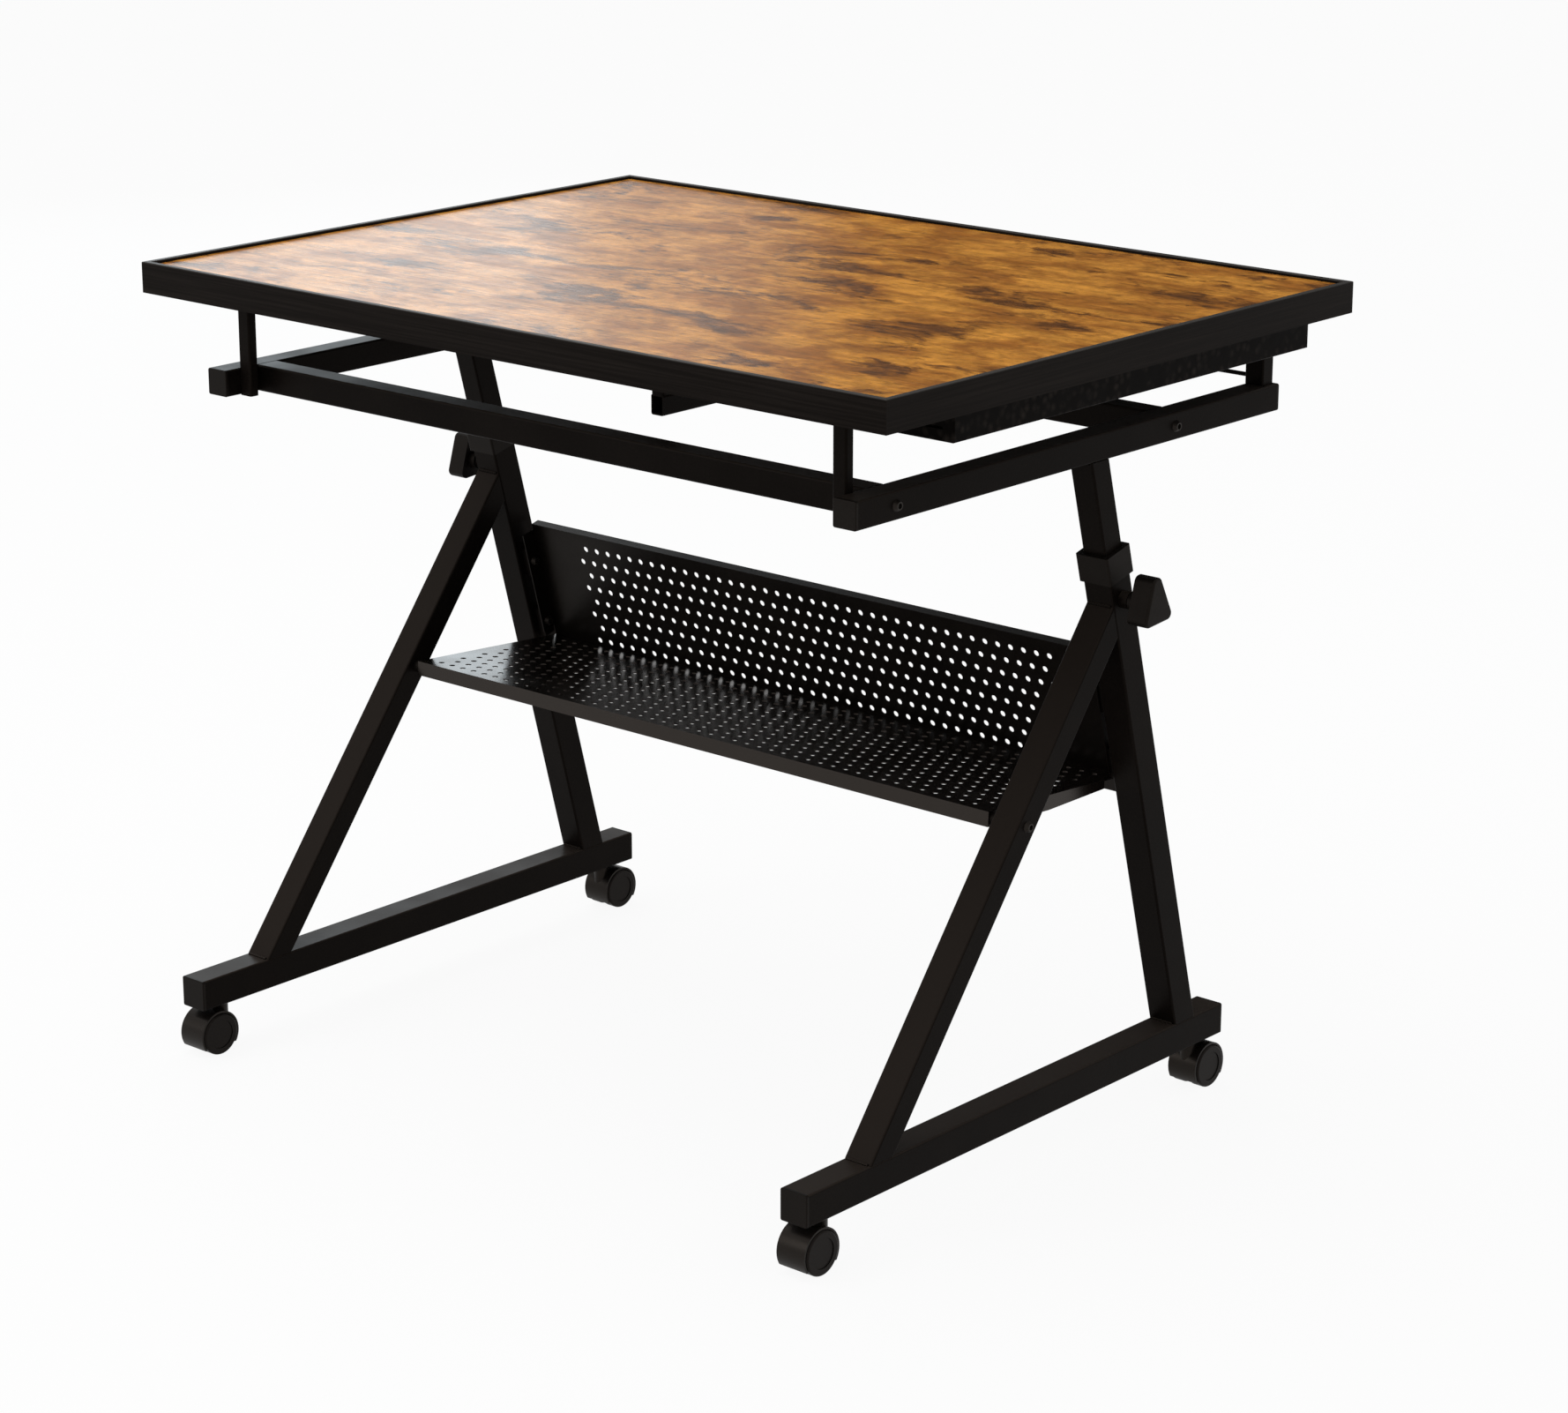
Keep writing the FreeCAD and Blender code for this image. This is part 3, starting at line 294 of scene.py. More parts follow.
COLOUR = "NodeSocketColor"
VALUE = "NodeSocketFloat"
VECTOR = "NodeSocketVector"


def make_fine_texture():
    """A surface that is dimpled all over, with patches that are a little rougher and lighter."""
    tree, given, ends = open_group(
        "fine_texture",
        [("Vector", VECTOR), ("Scale", VALUE), ("Roughness", VALUE), ("Base", COLOUR), ("Patch", COLOUR)],
        [("Color", COLOUR), ("Roughness", VALUE), ("Height", VALUE)])
    dimples = noise(tree, given["Vector"], given["Scale"], detail=1.0)
    patches = noise(tree, given["Vector"], 9.0, detail=4.0, roughness=0.6)
    smears = noise(tree, stretched(tree, given["Vector"], (14.0, 14.0, 40.0)), 1.0, detail=3.0)
    patch_mask = ranged(tree, patches, 0.42, 0.72)
    tint = mix_colours(tree, patch_mask, given["Base"], given["Patch"])
    speck = ranged(tree, dimples, 0.35, 0.7, 0.82, 1.18)
    tint = mix_colours(tree, 1.0, tint, speck, "MULTIPLY")
    uneven = maths(tree, "ADD", ranged(tree, patches, 0.3, 0.7, -0.05, 0.06),
                   ranged(tree, smears, 0.3, 0.7, -0.03, 0.04))
    rough = maths(tree, "ADD", given["Roughness"], uneven)
    return close_group(tree, ends, {"Color": tint, "Roughness": rough, "Height": dimples})


def shared_texture():
    """The fine texture group, made once."""
    return bpy.data.node_groups.get("fine_texture") or make_fine_texture()


def make_wood_figure(settings):
    """Rustic wood along X: honey ground, dark smears, knots, mottling and fine grain lines."""
    tree, given, ends = open_group(
        "wood_figure",
        [("Vector", VECTOR), ("Honey", COLOUR), ("Amber", COLOUR), ("Umber", COLOUR), ("Knot", COLOUR)],
        [("Color", COLOUR), ("Gloss", VALUE), ("Height", VALUE)])
    along = 1.0 / settings.blotch_length
    across = 1.0 / settings.blotch_width

    def figure(along_scale, across_scale, detail, roughness, distortion=0.0):
        space = stretched(tree, given["Vector"], (along_scale, across_scale, across))
        return noise(tree, space, 1.0, detail, roughness, distortion)

    clouds = figure(along, across, 9.0, 0.68, 0.35)
    smears = figure(1.0 / settings.smear_length, 1.0 / settings.smear_width, 8.0, 0.64, 0.5)
    dashes = figure(along * 5.0, across * 8.0, 4.0, 0.62, 0.4)
    streaks = figure(along * 0.7, across * 5.0, 6.0, 0.66, 0.7)
    mottle = figure(along * 5.0, across * 4.0, 4.0, 0.7)
    grain = figure(along * 0.8, 1.0 / settings.grain_width, 3.0, 0.6)
    # Ground, smears and knots
    tone = mix_colours(tree, ranged(tree, clouds, 0.42, 0.59), given["Amber"], given["Honey"])
    tone = mix_colours(tree, ranged(tree, smears, 0.52, 0.6, 0.0, 0.72), tone, given["Amber"])
    tone = mix_colours(tree, ranged(tree, smears, 0.55, 0.64, 0.0, 0.94), tone, given["Umber"])
    dark = maths(tree, "MULTIPLY", ranged(tree, smears, 0.5, 0.6), ranged(tree, dashes, 0.5, 0.62))
    tone = mix_colours(tree, maths(tree, "MULTIPLY", dark, 0.85), tone, given["Knot"])
    tone = mix_colours(tree, ranged(tree, dashes, 0.56, 0.7, 0.0, 0.5), tone, given["Umber"])
    # Grain lines, streaks and mottling
    lines = maths(tree, "MULTIPLY", ranged(tree, grain, 0.3, 0.7, 0.84, 1.12),
                  ranged(tree, streaks, 0.32, 0.68, 0.76, 1.18))
    lines = maths(tree, "MULTIPLY", lines, ranged(tree, mottle, 0.34, 0.66, 0.84, 1.22))
    tone = mix_colours(tree, 1.0, tone, lines, "MULTIPLY")
    gloss = maths(tree, "ADD", ranged(tree, grain, 0.3, 0.7, 0.04, -0.03),
                  ranged(tree, clouds, 0.3, 0.7, 0.03, -0.02))
    height = maths(tree, "SUBTRACT", grain, dark)
    return close_group(tree, ends, {"Color": tone, "Gloss": gloss, "Height": height})


def make_straight_grain():
    """Thin straight grain lines on laminate, along the first axis of the given coordinates."""
    tree, given, ends = open_group(
        "straight_grain",
        [("Vector", VECTOR), ("Base", COLOUR), ("Streak", COLOUR), ("Roughness", VALUE)],
        [("Color", COLOUR), ("Roughness", VALUE), ("Height", VALUE)])
    lines = noise(tree, stretched(tree, given["Vector"], (7.0, 520.0, 520.0)), 1.0, detail=4.0, roughness=0.6)
    clouds = noise(tree, stretched(tree, given["Vector"], (4.0, 40.0, 40.0)), 1.0, detail=3.0)
    tint = mix_colours(tree, ranged(tree, lines, 0.42, 0.72), given["Base"], given["Streak"])
    tint = mix_colours(tree, 1.0, tint, ranged(tree, clouds, 0.3, 0.7, 0.8, 1.2), "MULTIPLY")
    rough = maths(tree, "ADD", given["Roughness"], ranged(tree, lines, 0.3, 0.7, -0.05, 0.07))
    return close_group(tree, ends, {"Color": tint, "Roughness": rough, "Height": lines})


def make_flecks():
    """A speckled laminate: irregular soft flecks on a dark ground."""
    tree, given, ends = open_group(
        "flecks",
        [("Vector", VECTOR), ("Scale", VALUE), ("Base", COLOUR), ("Fleck", COLOUR), ("Roughness", VALUE)],
        [("Color", COLOUR), ("Roughness", VALUE), ("Height", VALUE)])
    cells = add_node(tree, "ShaderNodeTexVoronoi", {"Vector": given["Vector"], "Scale": given["Scale"]})
    chance = add_node(tree, "ShaderNodeSeparateColor", {0: cells.outputs["Color"]}).outputs[0]
    chosen = maths(tree, "GREATER_THAN", chance, 0.42)
    core = ranged(tree, cells.outputs["Distance"], 0.62, 0.1)
    clouds = noise(tree, given["Vector"], 60.0, detail=4.0, roughness=0.65)
    mask = maths(tree, "MULTIPLY", maths(tree, "MULTIPLY", chosen, core), ranged(tree, clouds, 0.35, 0.6))
    tint = mix_colours(tree, mask, given["Base"], given["Fleck"])
    rough = maths(tree, "ADD", given["Roughness"], ranged(tree, clouds, 0.3, 0.7, -0.06, 0.08))
    return close_group(tree, ends, {"Color": tint, "Roughness": rough, "Height": mask})


# Materials

WHITE = (1.0, 1.0, 1.0)
WARM_SHINE = (1.0, 0.84, 0.72)

# The painted top light begins where a face's normal rises to the first value and is full where it rises to the
# second
TOP_LIGHT_RISE = (0.2, 0.9)

# The painted highlight along a rail's upper edge begins and is full this far below the rail's top
EDGE_HIGHLIGHT_START = 0.0011
EDGE_HIGHLIGHT_FULL = 0.0002

# Strength and depth of each surface's relief
WOOD_RELIEF = (0.12, 0.0004)
RAIL_RELIEF = (0.15, 0.0003)
DRAWER_RELIEF = (0.2, 0.0003)
TUBE_RELIEF = (0.35, 0.00012)
SHEET_RELIEF = (0.35, 0.00008)
MOULDING_RELIEF = (0.35, 0.0001)
HOOD_RELIEF = (0.35, 0.00004)
WHEEL_RELIEF = (0.35, 0.00006)
PLATE_RELIEF = (0.35, 0.00003)

# The paper under the board: its fibres to a metre, and the shade of its darker fibres
PAPER_FIBRES = 300.0
PAPER_SHADE = 0.7


def open_material(name):
    """A new material: its tree, its Object coordinates and its shader."""
    material = bpy.data.materials.new(name)
    material.use_nodes = True
    tree = material.node_tree
    tree.nodes.clear()
    place = tree.nodes.new("ShaderNodeTexCoord").outputs["Object"]
    shader = tree.nodes.new("ShaderNodeBsdfPrincipled")
    output = tree.nodes.new("ShaderNodeOutputMaterial")
    tree.links.new(shader.outputs[0], output.inputs["Surface"])
    return material, tree, place, shader


def set_shine(shader, level, tint=WHITE):
    """How strongly a shader mirrors its surroundings, and the tint of that."""
    shader.inputs["Specular IOR Level"].default_value = level
    shader.inputs["Specular Tint"].default_value = rgba(tint)


def add_group(tree, group, inputs):
    """One use of a shared effect."""
    return add_node(tree, "ShaderNodeGroup", inputs, node_tree=group).outputs


def link_surface(tree, shader, tone, roughness, height, relief):
    """Ties a surface's tone, roughness and relief to its shader."""
    strength, depth = relief
    tree.links.new(tone, shader.inputs["Base Color"])
    tree.links.new(roughness, shader.inputs["Roughness"])
    bump = add_node(tree, "ShaderNodeBump", {"Height": height, "Strength": strength, "Distance": depth})
    tree.links.new(bump.outputs[0], shader.inputs["Normal"])


def textured_material(name, size, base, patch, roughness, level, relief, metallic=0.0, painted_top_light=None):
    """A finish made of the fine texture: powder coat, moulded plastic or plated metal."""
    material, tree, place, shader = open_material(name)
    made = add_group(tree, shared_texture(), {"Vector": place, "Scale": 1.0 / size, "Roughness": roughness,
                                              "Base": rgba(base), "Patch": rgba(patch)})
    tone = made["Color"]
    # Painted top light: faces that look upward are lightened towards the given colour, standing in for light
    # from above
    if painted_top_light is not None:
        normal = add_node(tree, "ShaderNodeNewGeometry").outputs["Normal"]
        top_light_mask = ranged(tree, height_of(tree, normal), *TOP_LIGHT_RISE)
        tone = mix_colours(tree, top_light_mask, tone, rgba(painted_top_light))
    link_surface(tree, shader, tone, made["Roughness"], made["Height"], relief)
    set_shine(shader, level, WHITE if metallic else WARM_SHINE)
    shader.inputs["Metallic"].default_value = metallic
    return material


def wood_material(settings, underside_z):
    """The board: wood figure above, plain balancing paper on its underside."""
    material, tree, place, shader = open_material("board_wood_laminate")
    made = add_group(tree, make_wood_figure(settings), {
        "Vector": place, "Honey": rgba(settings.honey), "Amber": rgba(settings.amber),
        "Umber": rgba(settings.umber), "Knot": rgba(settings.knot)})
    above = maths(tree, "GREATER_THAN", height_of(tree, place), underside_z)
    fibres = noise(tree, place, PAPER_FIBRES, detail=3.0)
    shaded = [part * PAPER_SHADE for part in settings.underside]
    paper = mix_colours(tree, fibres, rgba(shaded), rgba(settings.underside))
    tone = mix_colours(tree, above, paper, made["Color"])
    rough = maths(tree, "ADD", made["Gloss"], settings.roughness)
    link_surface(tree, shader, tone, rough, made["Height"], WOOD_RELIEF)
    set_shine(shader, settings.shine)
    return material


def rail_material(name, group, settings, top_z, turned):
    """An edge rail with a painted highlight along its upper edge, its grain along X or, turned, along Y."""
    material, tree, place, shader = open_material(name)
    # Painted highlight: the rail's upper edge is lightened towards a light grey, standing in for the glint on
    # the edge
    edge_highlight = ranged(tree, height_of(tree, place), top_z - EDGE_HIGHLIGHT_START, top_z - EDGE_HIGHLIGHT_FULL)
    if turned:
        place = add_node(tree, "ShaderNodeMapping", {"Vector": place, "Rotation": (0.0, 0.0, math.pi / 2)})
        place = place.outputs[0]
    made = add_group(tree, group, {"Vector": place, "Base": rgba(settings.rail),
                                   "Streak": rgba(settings.rail_streak), "Roughness": settings.roughness})
    tone = mix_colours(tree, edge_highlight, made["Color"], rgba(settings.rail_edge_highlight))
    link_surface(tree, shader, tone, made["Roughness"], made["Height"], RAIL_RELIEF)
    set_shine(shader, settings.rail_shine, WARM_SHINE)
    return material


def drawer_material(settings):
    """The drawers' speckled laminate."""
    material, tree, place, shader = open_material("drawer_speckled_laminate")
    made = add_group(tree, make_flecks(), {
        "Vector": place, "Scale": 1.0 / settings.fleck_size, "Base": rgba(settings.drawer),
        "Fleck": rgba(settings.fleck), "Roughness": settings.roughness})
    link_surface(tree, shader, made["Color"], made["Roughness"], made["Height"], DRAWER_RELIEF)
    set_shine(shader, settings.drawer_shine, WARM_SHINE)
    return material


# The frame's pieces

def slot_nodes(slot):
    """The CAD nodes that carry one of the record's material slots."""
    return [part["node"] for part in frame["record"]["subparts"] if part["material_slot"] == slot]


def dress(nodes, material):
    """Gives CAD nodes a finish."""
    for node in nodes:
        materials = frame["nodes"][node].data.materials
        if len(materials) == 0:
            materials.append(material)
        for index in range(len(materials)):
            materials[index] = material


# Corners that agree to this many digits are one corner
WELD_DIGITS = 6


def node_points(node):
    """The corner points of a CAD node's mesh."""
    return [vertex.co.copy() for vertex in frame["nodes"][node].data.vertices]


def solids_of(node):
    """The lowest and highest corners of each separate solid of a CAD node."""
    mesh = frame["nodes"][node].data
    welded = {}
    index = [welded.setdefault(tuple(round(part, WELD_DIGITS) for part in vertex.co), number)
             for number, vertex in enumerate(mesh.vertices)]
    parent = list(range(len(mesh.vertices)))

    def root(number):
        while parent[number] != number:
            parent[number] = parent[parent[number]]
            number = parent[number]
        return number

    for edge in mesh.edges:
        parent[root(index[edge.vertices[0]])] = root(index[edge.vertices[1]])
    boxes = {}
    for number, vertex in enumerate(mesh.vertices):
        low, high = boxes.setdefault(root(index[number]), (vertex.co.copy(), vertex.co.copy()))
        for axis in range(3):
            low[axis] = min(low[axis], vertex.co[axis])
            high[axis] = max(high[axis], vertex.co[axis])
    return list(boxes.values())


def make_holder(name, points, edges=()):
    """An object that carries the points or lines for a Geometry Nodes tree."""
    mesh = bpy.data.meshes.new(name)
    mesh.from_pydata(points, edges, [])
    holder = bpy.data.objects.new(name, mesh)
    bpy.context.scene.collection.objects.link(holder)
    return holder


def run_tree(holder, tree, values):
    """Runs a Geometry Nodes tree on an object and keeps the result as its mesh."""
    modifier = holder.modifiers.new(tree.name, "NODES")
    modifier.node_group = tree
    for item in tree.interface.items_tree:
        if item.in_out == "INPUT" and item.name in values:
            modifier[item.identifier] = values[item.name]
    graph = bpy.context.evaluated_depsgraph_get()
    mesh = bpy.data.meshes.new_from_object(holder.evaluated_get(graph), depsgraph=graph)
    if len(mesh.polygons) == 0:
        raise RuntimeError("the tree " + tree.name + " made nothing for " + holder.name)
    mesh.name = holder.name
    holder.modifiers.remove(modifier)
    holder.data = mesh
    return holder


# Geometry Nodes trees

WHOLE = "NodeSocketInt"
GEOMETRY = "NodeSocketGeometry"
STEPS_PER_RIPPLE = 4.0
BEAD_SIDES = 8


def open_geometry_tree(name, sockets):
    """A new Geometry Nodes tree that takes places, named inputs and a finish, and gives geometry."""
    inputs = [("Places", GEOMETRY), *sockets, ("Finish", "NodeSocketMaterial")]
    return open_group(name, inputs, [("Geometry", GEOMETRY)], "GeometryNodeTree")


def close_geometry_tree(tree, given, ends, geometry):
    """Ends a tree with plain geometry in its finish."""
    real = add_node(tree, "GeometryNodeRealizeInstances", {"Geometry": geometry})
    done = add_node(tree, "GeometryNodeSetMaterial", {
        "Geometry": real.outputs[0], "Material": given["Finish"]})
    return close_group(tree, ends, {"Geometry": done.outputs[0]})


def make_fastener_tree():
    """A head with a drive socket and a shank at each point, along the point's axis."""
    tree, given, ends = open_geometry_tree("fastener", [
        ("Head Radius", VALUE), ("Crown Radius", VALUE), ("Head Height", VALUE), ("Head Sides", WHOLE),
        ("Socket Radius", VALUE), ("Socket Depth", VALUE), ("Socket Sides", WHOLE),
        ("Shank Radius", VALUE)])
    head = add_node(tree, "GeometryNodeMeshCone", {
        "Vertices": given["Head Sides"], "Radius Top": given["Crown Radius"],
        "Radius Bottom": given["Head Radius"], "Depth": given["Head Height"]}).outputs["Mesh"]
    drill_depth = maths(tree, "MULTIPLY", given["Socket Depth"], 2.0)
    drill = add_node(tree, "GeometryNodeMeshCylinder", {
        "Vertices": given["Socket Sides"], "Radius": given["Socket Radius"], "Depth": drill_depth})
    lift = add_node(tree, "ShaderNodeCombineXYZ", {"Z": given["Head Height"]}).outputs[0]
    raised = add_node(tree, "GeometryNodeTransform", {"Geometry": drill.outputs["Mesh"], "Translation": lift})
    cut = add_node(tree, "GeometryNodeMeshBoolean", {"Mesh 1": head, "Mesh 2": raised.outputs[0]},
                   operation="DIFFERENCE")
    rod = add_node(tree, "GeometryNodeMeshCylinder", {
        "Vertices": given["Head Sides"], "Radius": given["Shank Radius"], "Depth": 1.0})
    hung = add_node(tree, "GeometryNodeTransform", {"Geometry": rod.outputs["Mesh"],
                                                    "Translation": (0.0, 0.0, -0.5)})
    axis = add_node(tree, "GeometryNodeInputNamedAttribute", {"Name": "axis"}, data_type="FLOAT_VECTOR")
    reach = add_node(tree, "GeometryNodeInputNamedAttribute", {"Name": "shank"}, data_type="FLOAT")
    turn = add_node(tree, "FunctionNodeAlignRotationToVector", {"Vector": axis.outputs["Attribute"]}, axis="Z")
    stretch = add_node(tree, "ShaderNodeCombineXYZ", {"X": 1.0, "Y": 1.0, "Z": reach.outputs["Attribute"]})
    heads = add_node(tree, "GeometryNodeInstanceOnPoints", {
        "Points": given["Places"], "Instance": cut.outputs["Mesh"], "Rotation": turn.outputs[0]})
    shanks = add_node(tree, "GeometryNodeInstanceOnPoints", {
        "Points": given["Places"], "Instance": hung.outputs[0], "Rotation": turn.outputs[0],
        "Scale": stretch.outputs[0]})
    both = tree.nodes.new("GeometryNodeJoinGeometry")
    tree.links.new(heads.outputs[0], both.inputs[0])
    tree.links.new(shanks.outputs[0], both.inputs[0])
    return close_geometry_tree(tree, given, ends, both.outputs[0])


def make_weld_tree():
    """A rippled bead along each line."""
    tree, given, ends = open_geometry_tree("weld_bead", [
        ("Bead Radius", VALUE), ("Ripple Pitch", VALUE), ("Ripple Share", VALUE)])
    line = add_node(tree, "GeometryNodeMeshToCurve", {"Mesh": given["Places"]})
    step = maths(tree, "DIVIDE", given["Ripple Pitch"], STEPS_PER_RIPPLE)
    fine = add_node(tree, "GeometryNodeResampleCurve", {"Curve": line.outputs[0], "Length": step},
                    mode="LENGTH")
    run = tree.nodes.new("GeometryNodeSplineParameter").outputs["Length"]
    phase = maths(tree, "MULTIPLY", maths(tree, "DIVIDE", run, given["Ripple Pitch"]), 2.0 * math.pi)
    wave = maths(tree, "MULTIPLY", maths(tree, "SINE", phase), given["Ripple Share"])
    ring = add_node(tree, "GeometryNodeCurvePrimitiveCircle", {
        "Resolution": BEAD_SIDES, "Radius": given["Bead Radius"]})
    bead = add_node(tree, "GeometryNodeCurveToMesh", {
        "Curve": fine.outputs[0], "Profile Curve": ring.outputs[0], "Scale": maths(tree, "ADD", wave, 1.0),
        "Fill Caps": True})
    smooth = add_node(tree, "GeometryNodeSetShadeSmooth", {"Geometry": bead.outputs[0]})
    return close_geometry_tree(tree, given, ends, smooth.outputs[0])


# Fasteners

# Heights of the heads and of a nut
SCREW_HEAD = 0.0025
BOLT_HEAD = 0.0035
NUT_LENGTH = 0.004

# Numbers of the axes across a head
X = 0
Z = 2

# Width of a shank as a share of its head
SHANK_SHARE = 0.5

# Sides of the drive sockets and of a nut's bore
BOLT_SOCKET_SIDES = 6
SCREW_SOCKET_SIDES = 4
NUT_BORE_SIDES = 12


def place_fasteners(name, places, sizes, finish, tree, settings, socket_sides, head_sides=None):
    """Fasteners at places, each a point under the head, an outward axis and a shank length."""
    holder = make_holder(name, [point for point, axis, shank in places])
    holder.data.attributes.new("axis", "FLOAT_VECTOR", "POINT")
    holder.data.attributes.new("shank", "FLOAT", "POINT")
    for index, (point, axis, shank) in enumerate(places):
        holder.data.attributes["axis"].data[index].vector = axis
        holder.data.attributes["shank"].data[index].value = shank
    head_radius, head_height, shank_radius = sizes
    crown = 1.0 if head_sides else settings.crown_share
    return run_tree(holder, tree, {
        "Head Radius": head_radius, "Crown Radius": head_radius * crown, "Head Height": head_height,
        "Head Sides": head_sides or settings.head_sides, "Socket Radius": head_radius * settings.socket_share,
        "Socket Depth": head_height * settings.socket_depth_share, "Socket Sides": socket_sides,
        "Shank Radius": shank_radius, "Finish": finish})


def join_pieces(pieces):
    """Several pieces as one mesh, under the first one's name."""
    with bpy.context.temp_override(active_object=pieces[0], selected_editable_objects=pieces):
        bpy.ops.object.join()
    return pieces[0]


def sides_of(node):
    """Each solid of a node that has a left and a right half: its side, middle, and near and far X."""
    for low, high in solids_of(node):
        near, far = sorted((abs(low.x), abs(high.x)))
        yield math.copysign(1.0, low.x + high.x), (low + high) / 2, near, far


def sideways(side, x, middle, outward, shank):
    """The place of a fastener that points out from the table's middle, or in where outward is minus one."""
    return Vector((side * x, middle.y, middle.z)), Vector((side * outward, 0.0, 0.0)), shank


def frame_bolt_places():
    """The bolts in the side tubes: under each head, at the tube's outer face."""
    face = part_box("side_tube_right")[1][0]
    return [sideways(side, face, middle, 1.0, face - near)
            for side, middle, near, far in sides_of("frame_bolts")]


def head_sizes(node, across, head_height):
    """Radius and height of a node's heads, measured along one axis, and the radius of their shanks."""
    low, high = solids_of(node)[0]
    radius = (high[across] - low[across]) / 2
    return radius, head_height, radius * SHANK_SHARE


def board_screw_places():
    """The screws under the board: under each head, at the face of the plate or flange above it."""
    places = []
    for low, high in solids_of("board_screws"):
        middle = (low + high) / 2
        point = Vector((middle.x, middle.y, low.z + SCREW_HEAD))
        places.append((point, Vector((0.0, 0.0, -1.0)), high.z - point.z))
    return places


def shelf_fastener_places():
    """The shelf's screws and bolts, and its nuts, told apart by their lengths and sides."""
    bolts = []
    nuts = []
    leg_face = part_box("front_leg_right")[1][0]
    for side, middle, near, far in sides_of("shelf_bolts"):
        if far - near < NUT_LENGTH + BOLT_HEAD / 2:
            nuts.append(sideways(side, far, middle, -1.0, BOLT_HEAD))
        elif far > leg_face:
            face = far - BOLT_HEAD
            bolts.append(sideways(side, face, middle, 1.0, face - near))
        else:
            face = near + BOLT_HEAD
            bolts.append(sideways(side, face, middle, -1.0, far - face))
    return bolts, nuts


# Weld seams

# Corners this near to a leg's end belong to it
END_DEPTH = 0.0005


def across_line(points, y, z, gap):
    """A line across a tube's width at one edge of its end."""
    xs = [point.x for point in points]
    return (Vector((min(xs) + gap, y, z)), Vector((max(xs) - gap, y, z)))


def end_seams(leg, end, gap):
    """The seams in front of and behind a leg at its lower end, by min, or its upper end, by max."""
    points = node_points(leg)
    level = end(point.z for point in points)
    ring = [point for point in points if abs(point.z - level) < END_DEPTH]
    return [across_line(ring, pick(point.y for point in ring), level, gap) for pick in (min, max)]


def top_seams(leg, gap):
    """The seams at the upper and lower edge of a front leg's mitre on the rear leg."""
    points = node_points(leg)
    highest = max(points, key=lambda point: point.z)
    rearmost = max(points, key=lambda point: point.y)
    return [across_line(points, corner.y, corner.z, gap) for corner in (highest, rearmost)]


def lay_seams(name, lines, settings, tree, finish, body):
    """A body's weld seams as one piece."""
    points = [end for line in lines for end in line]
    edges = [(2 * index, 2 * index + 1) for index in range(len(lines))]
    piece = run_tree(make_holder(name, points, edges), tree, {
        "Bead Radius": settings.bead_radius, "Ripple Pitch": settings.ripple_pitch,
        "Ripple Share": settings.ripple_share, "Finish": finish})
    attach(piece, body)


# Operators

# The lowest share of the board's thickness that shows its paper
UNDERSIDE_SHARE = 0.1


class PieceOperator(bpy.types.Operator):
    """A step that dresses or adds pieces of the table."""
    bl_options = {"REGISTER", "UNDO"}

    @property
    def settings(self):
        """The scene's puzzle table settings."""
        return bpy.context.scene.puzzle_table


class PUZZLE_OT_board(PieceOperator):
    """Dress the board in its rustic wood-effect laminate"""
    bl_idname = "puzzle.board"
    bl_label = "Dress Board"

    def execute(self, context):
        wood = self.settings.wood
        low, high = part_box("board")
        underside_z = low[2] + (high[2] - low[2]) * UNDERSIDE_SHARE
        dress(["board"], wood_material(wood, underside_z))
        return {"FINISHED"}


class PUZZLE_OT_edge_rails(PieceOperator):
    """Dress the four edge rails in black laminate with the grain along each rail"""
    bl_idname = "puzzle.edge_rails"
    bl_label = "Dress Edge Rails"

    def execute(self, context):
        laminate = self.settings.laminate
        group = make_straight_grain()
        top_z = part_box("edge_rail_front")[1][2]
        along = rail_material("rail_laminate_long", group, laminate, top_z, False)
        across = rail_material("rail_laminate_short", group, laminate, top_z, True)
        dress(["edge_rail_front", "edge_rail_rear"], along)
        dress(["edge_rail_left", "edge_rail_right"], across)
        return {"FINISHED"}


class PUZZLE_OT_steelwork(PieceOperator):
    """Dress the tubes and the perforated shelf in black powder coat, with painted top light on the tubes'
    upward faces
    """
    bl_idname = "puzzle.steelwork"
    bl_label = "Dress Steelwork"

    def execute(self, context):
        coat = self.settings.coat
        tubes = [node for node in slot_nodes("powder_black") if not node.startswith("shelf_")]
        # The tubes carry painted top light on their upward faces
        dress(tubes, self.coated("powder_coat_tube", coat.roughness, coat.tube_shine, TUBE_RELIEF, coat.painted_top_light))
        dress(["shelf_back_panel"],
              self.coated("powder_coat_panel", coat.roughness, coat.panel_shine, SHEET_RELIEF))
        dress(["shelf_floor"],
              self.coated("powder_coat_sheet", coat.sheet_roughness, coat.sheet_shine, SHEET_RELIEF))
        return {"FINISHED"}

    def coated(self, name, roughness, level, relief, painted_top_light=None):
        """One make of the powder coat."""
        coat = self.settings.coat
        return textured_material(name, coat.peel_size, coat.base, coat.worn, roughness, level, relief,
                                 painted_top_light=painted_top_light)


class PUZZLE_OT_mouldings(PieceOperator):
    """Dress the caps, collars, spacers, glides and knobs in matt black plastic"""
    bl_idname = "puzzle.mouldings"
    bl_label = "Dress Mouldings"

    def execute(self, context):
        plastic = self.settings.plastic
        nodes = [node for node in slot_nodes("plastic_black") if not node.startswith("castor_")]
        dress(nodes, textured_material(
            "matt_moulding", plastic.texture_size, plastic.base, plastic.scuffed, plastic.roughness,
            plastic.shine, MOULDING_RELIEF))
        return {"FINISHED"}


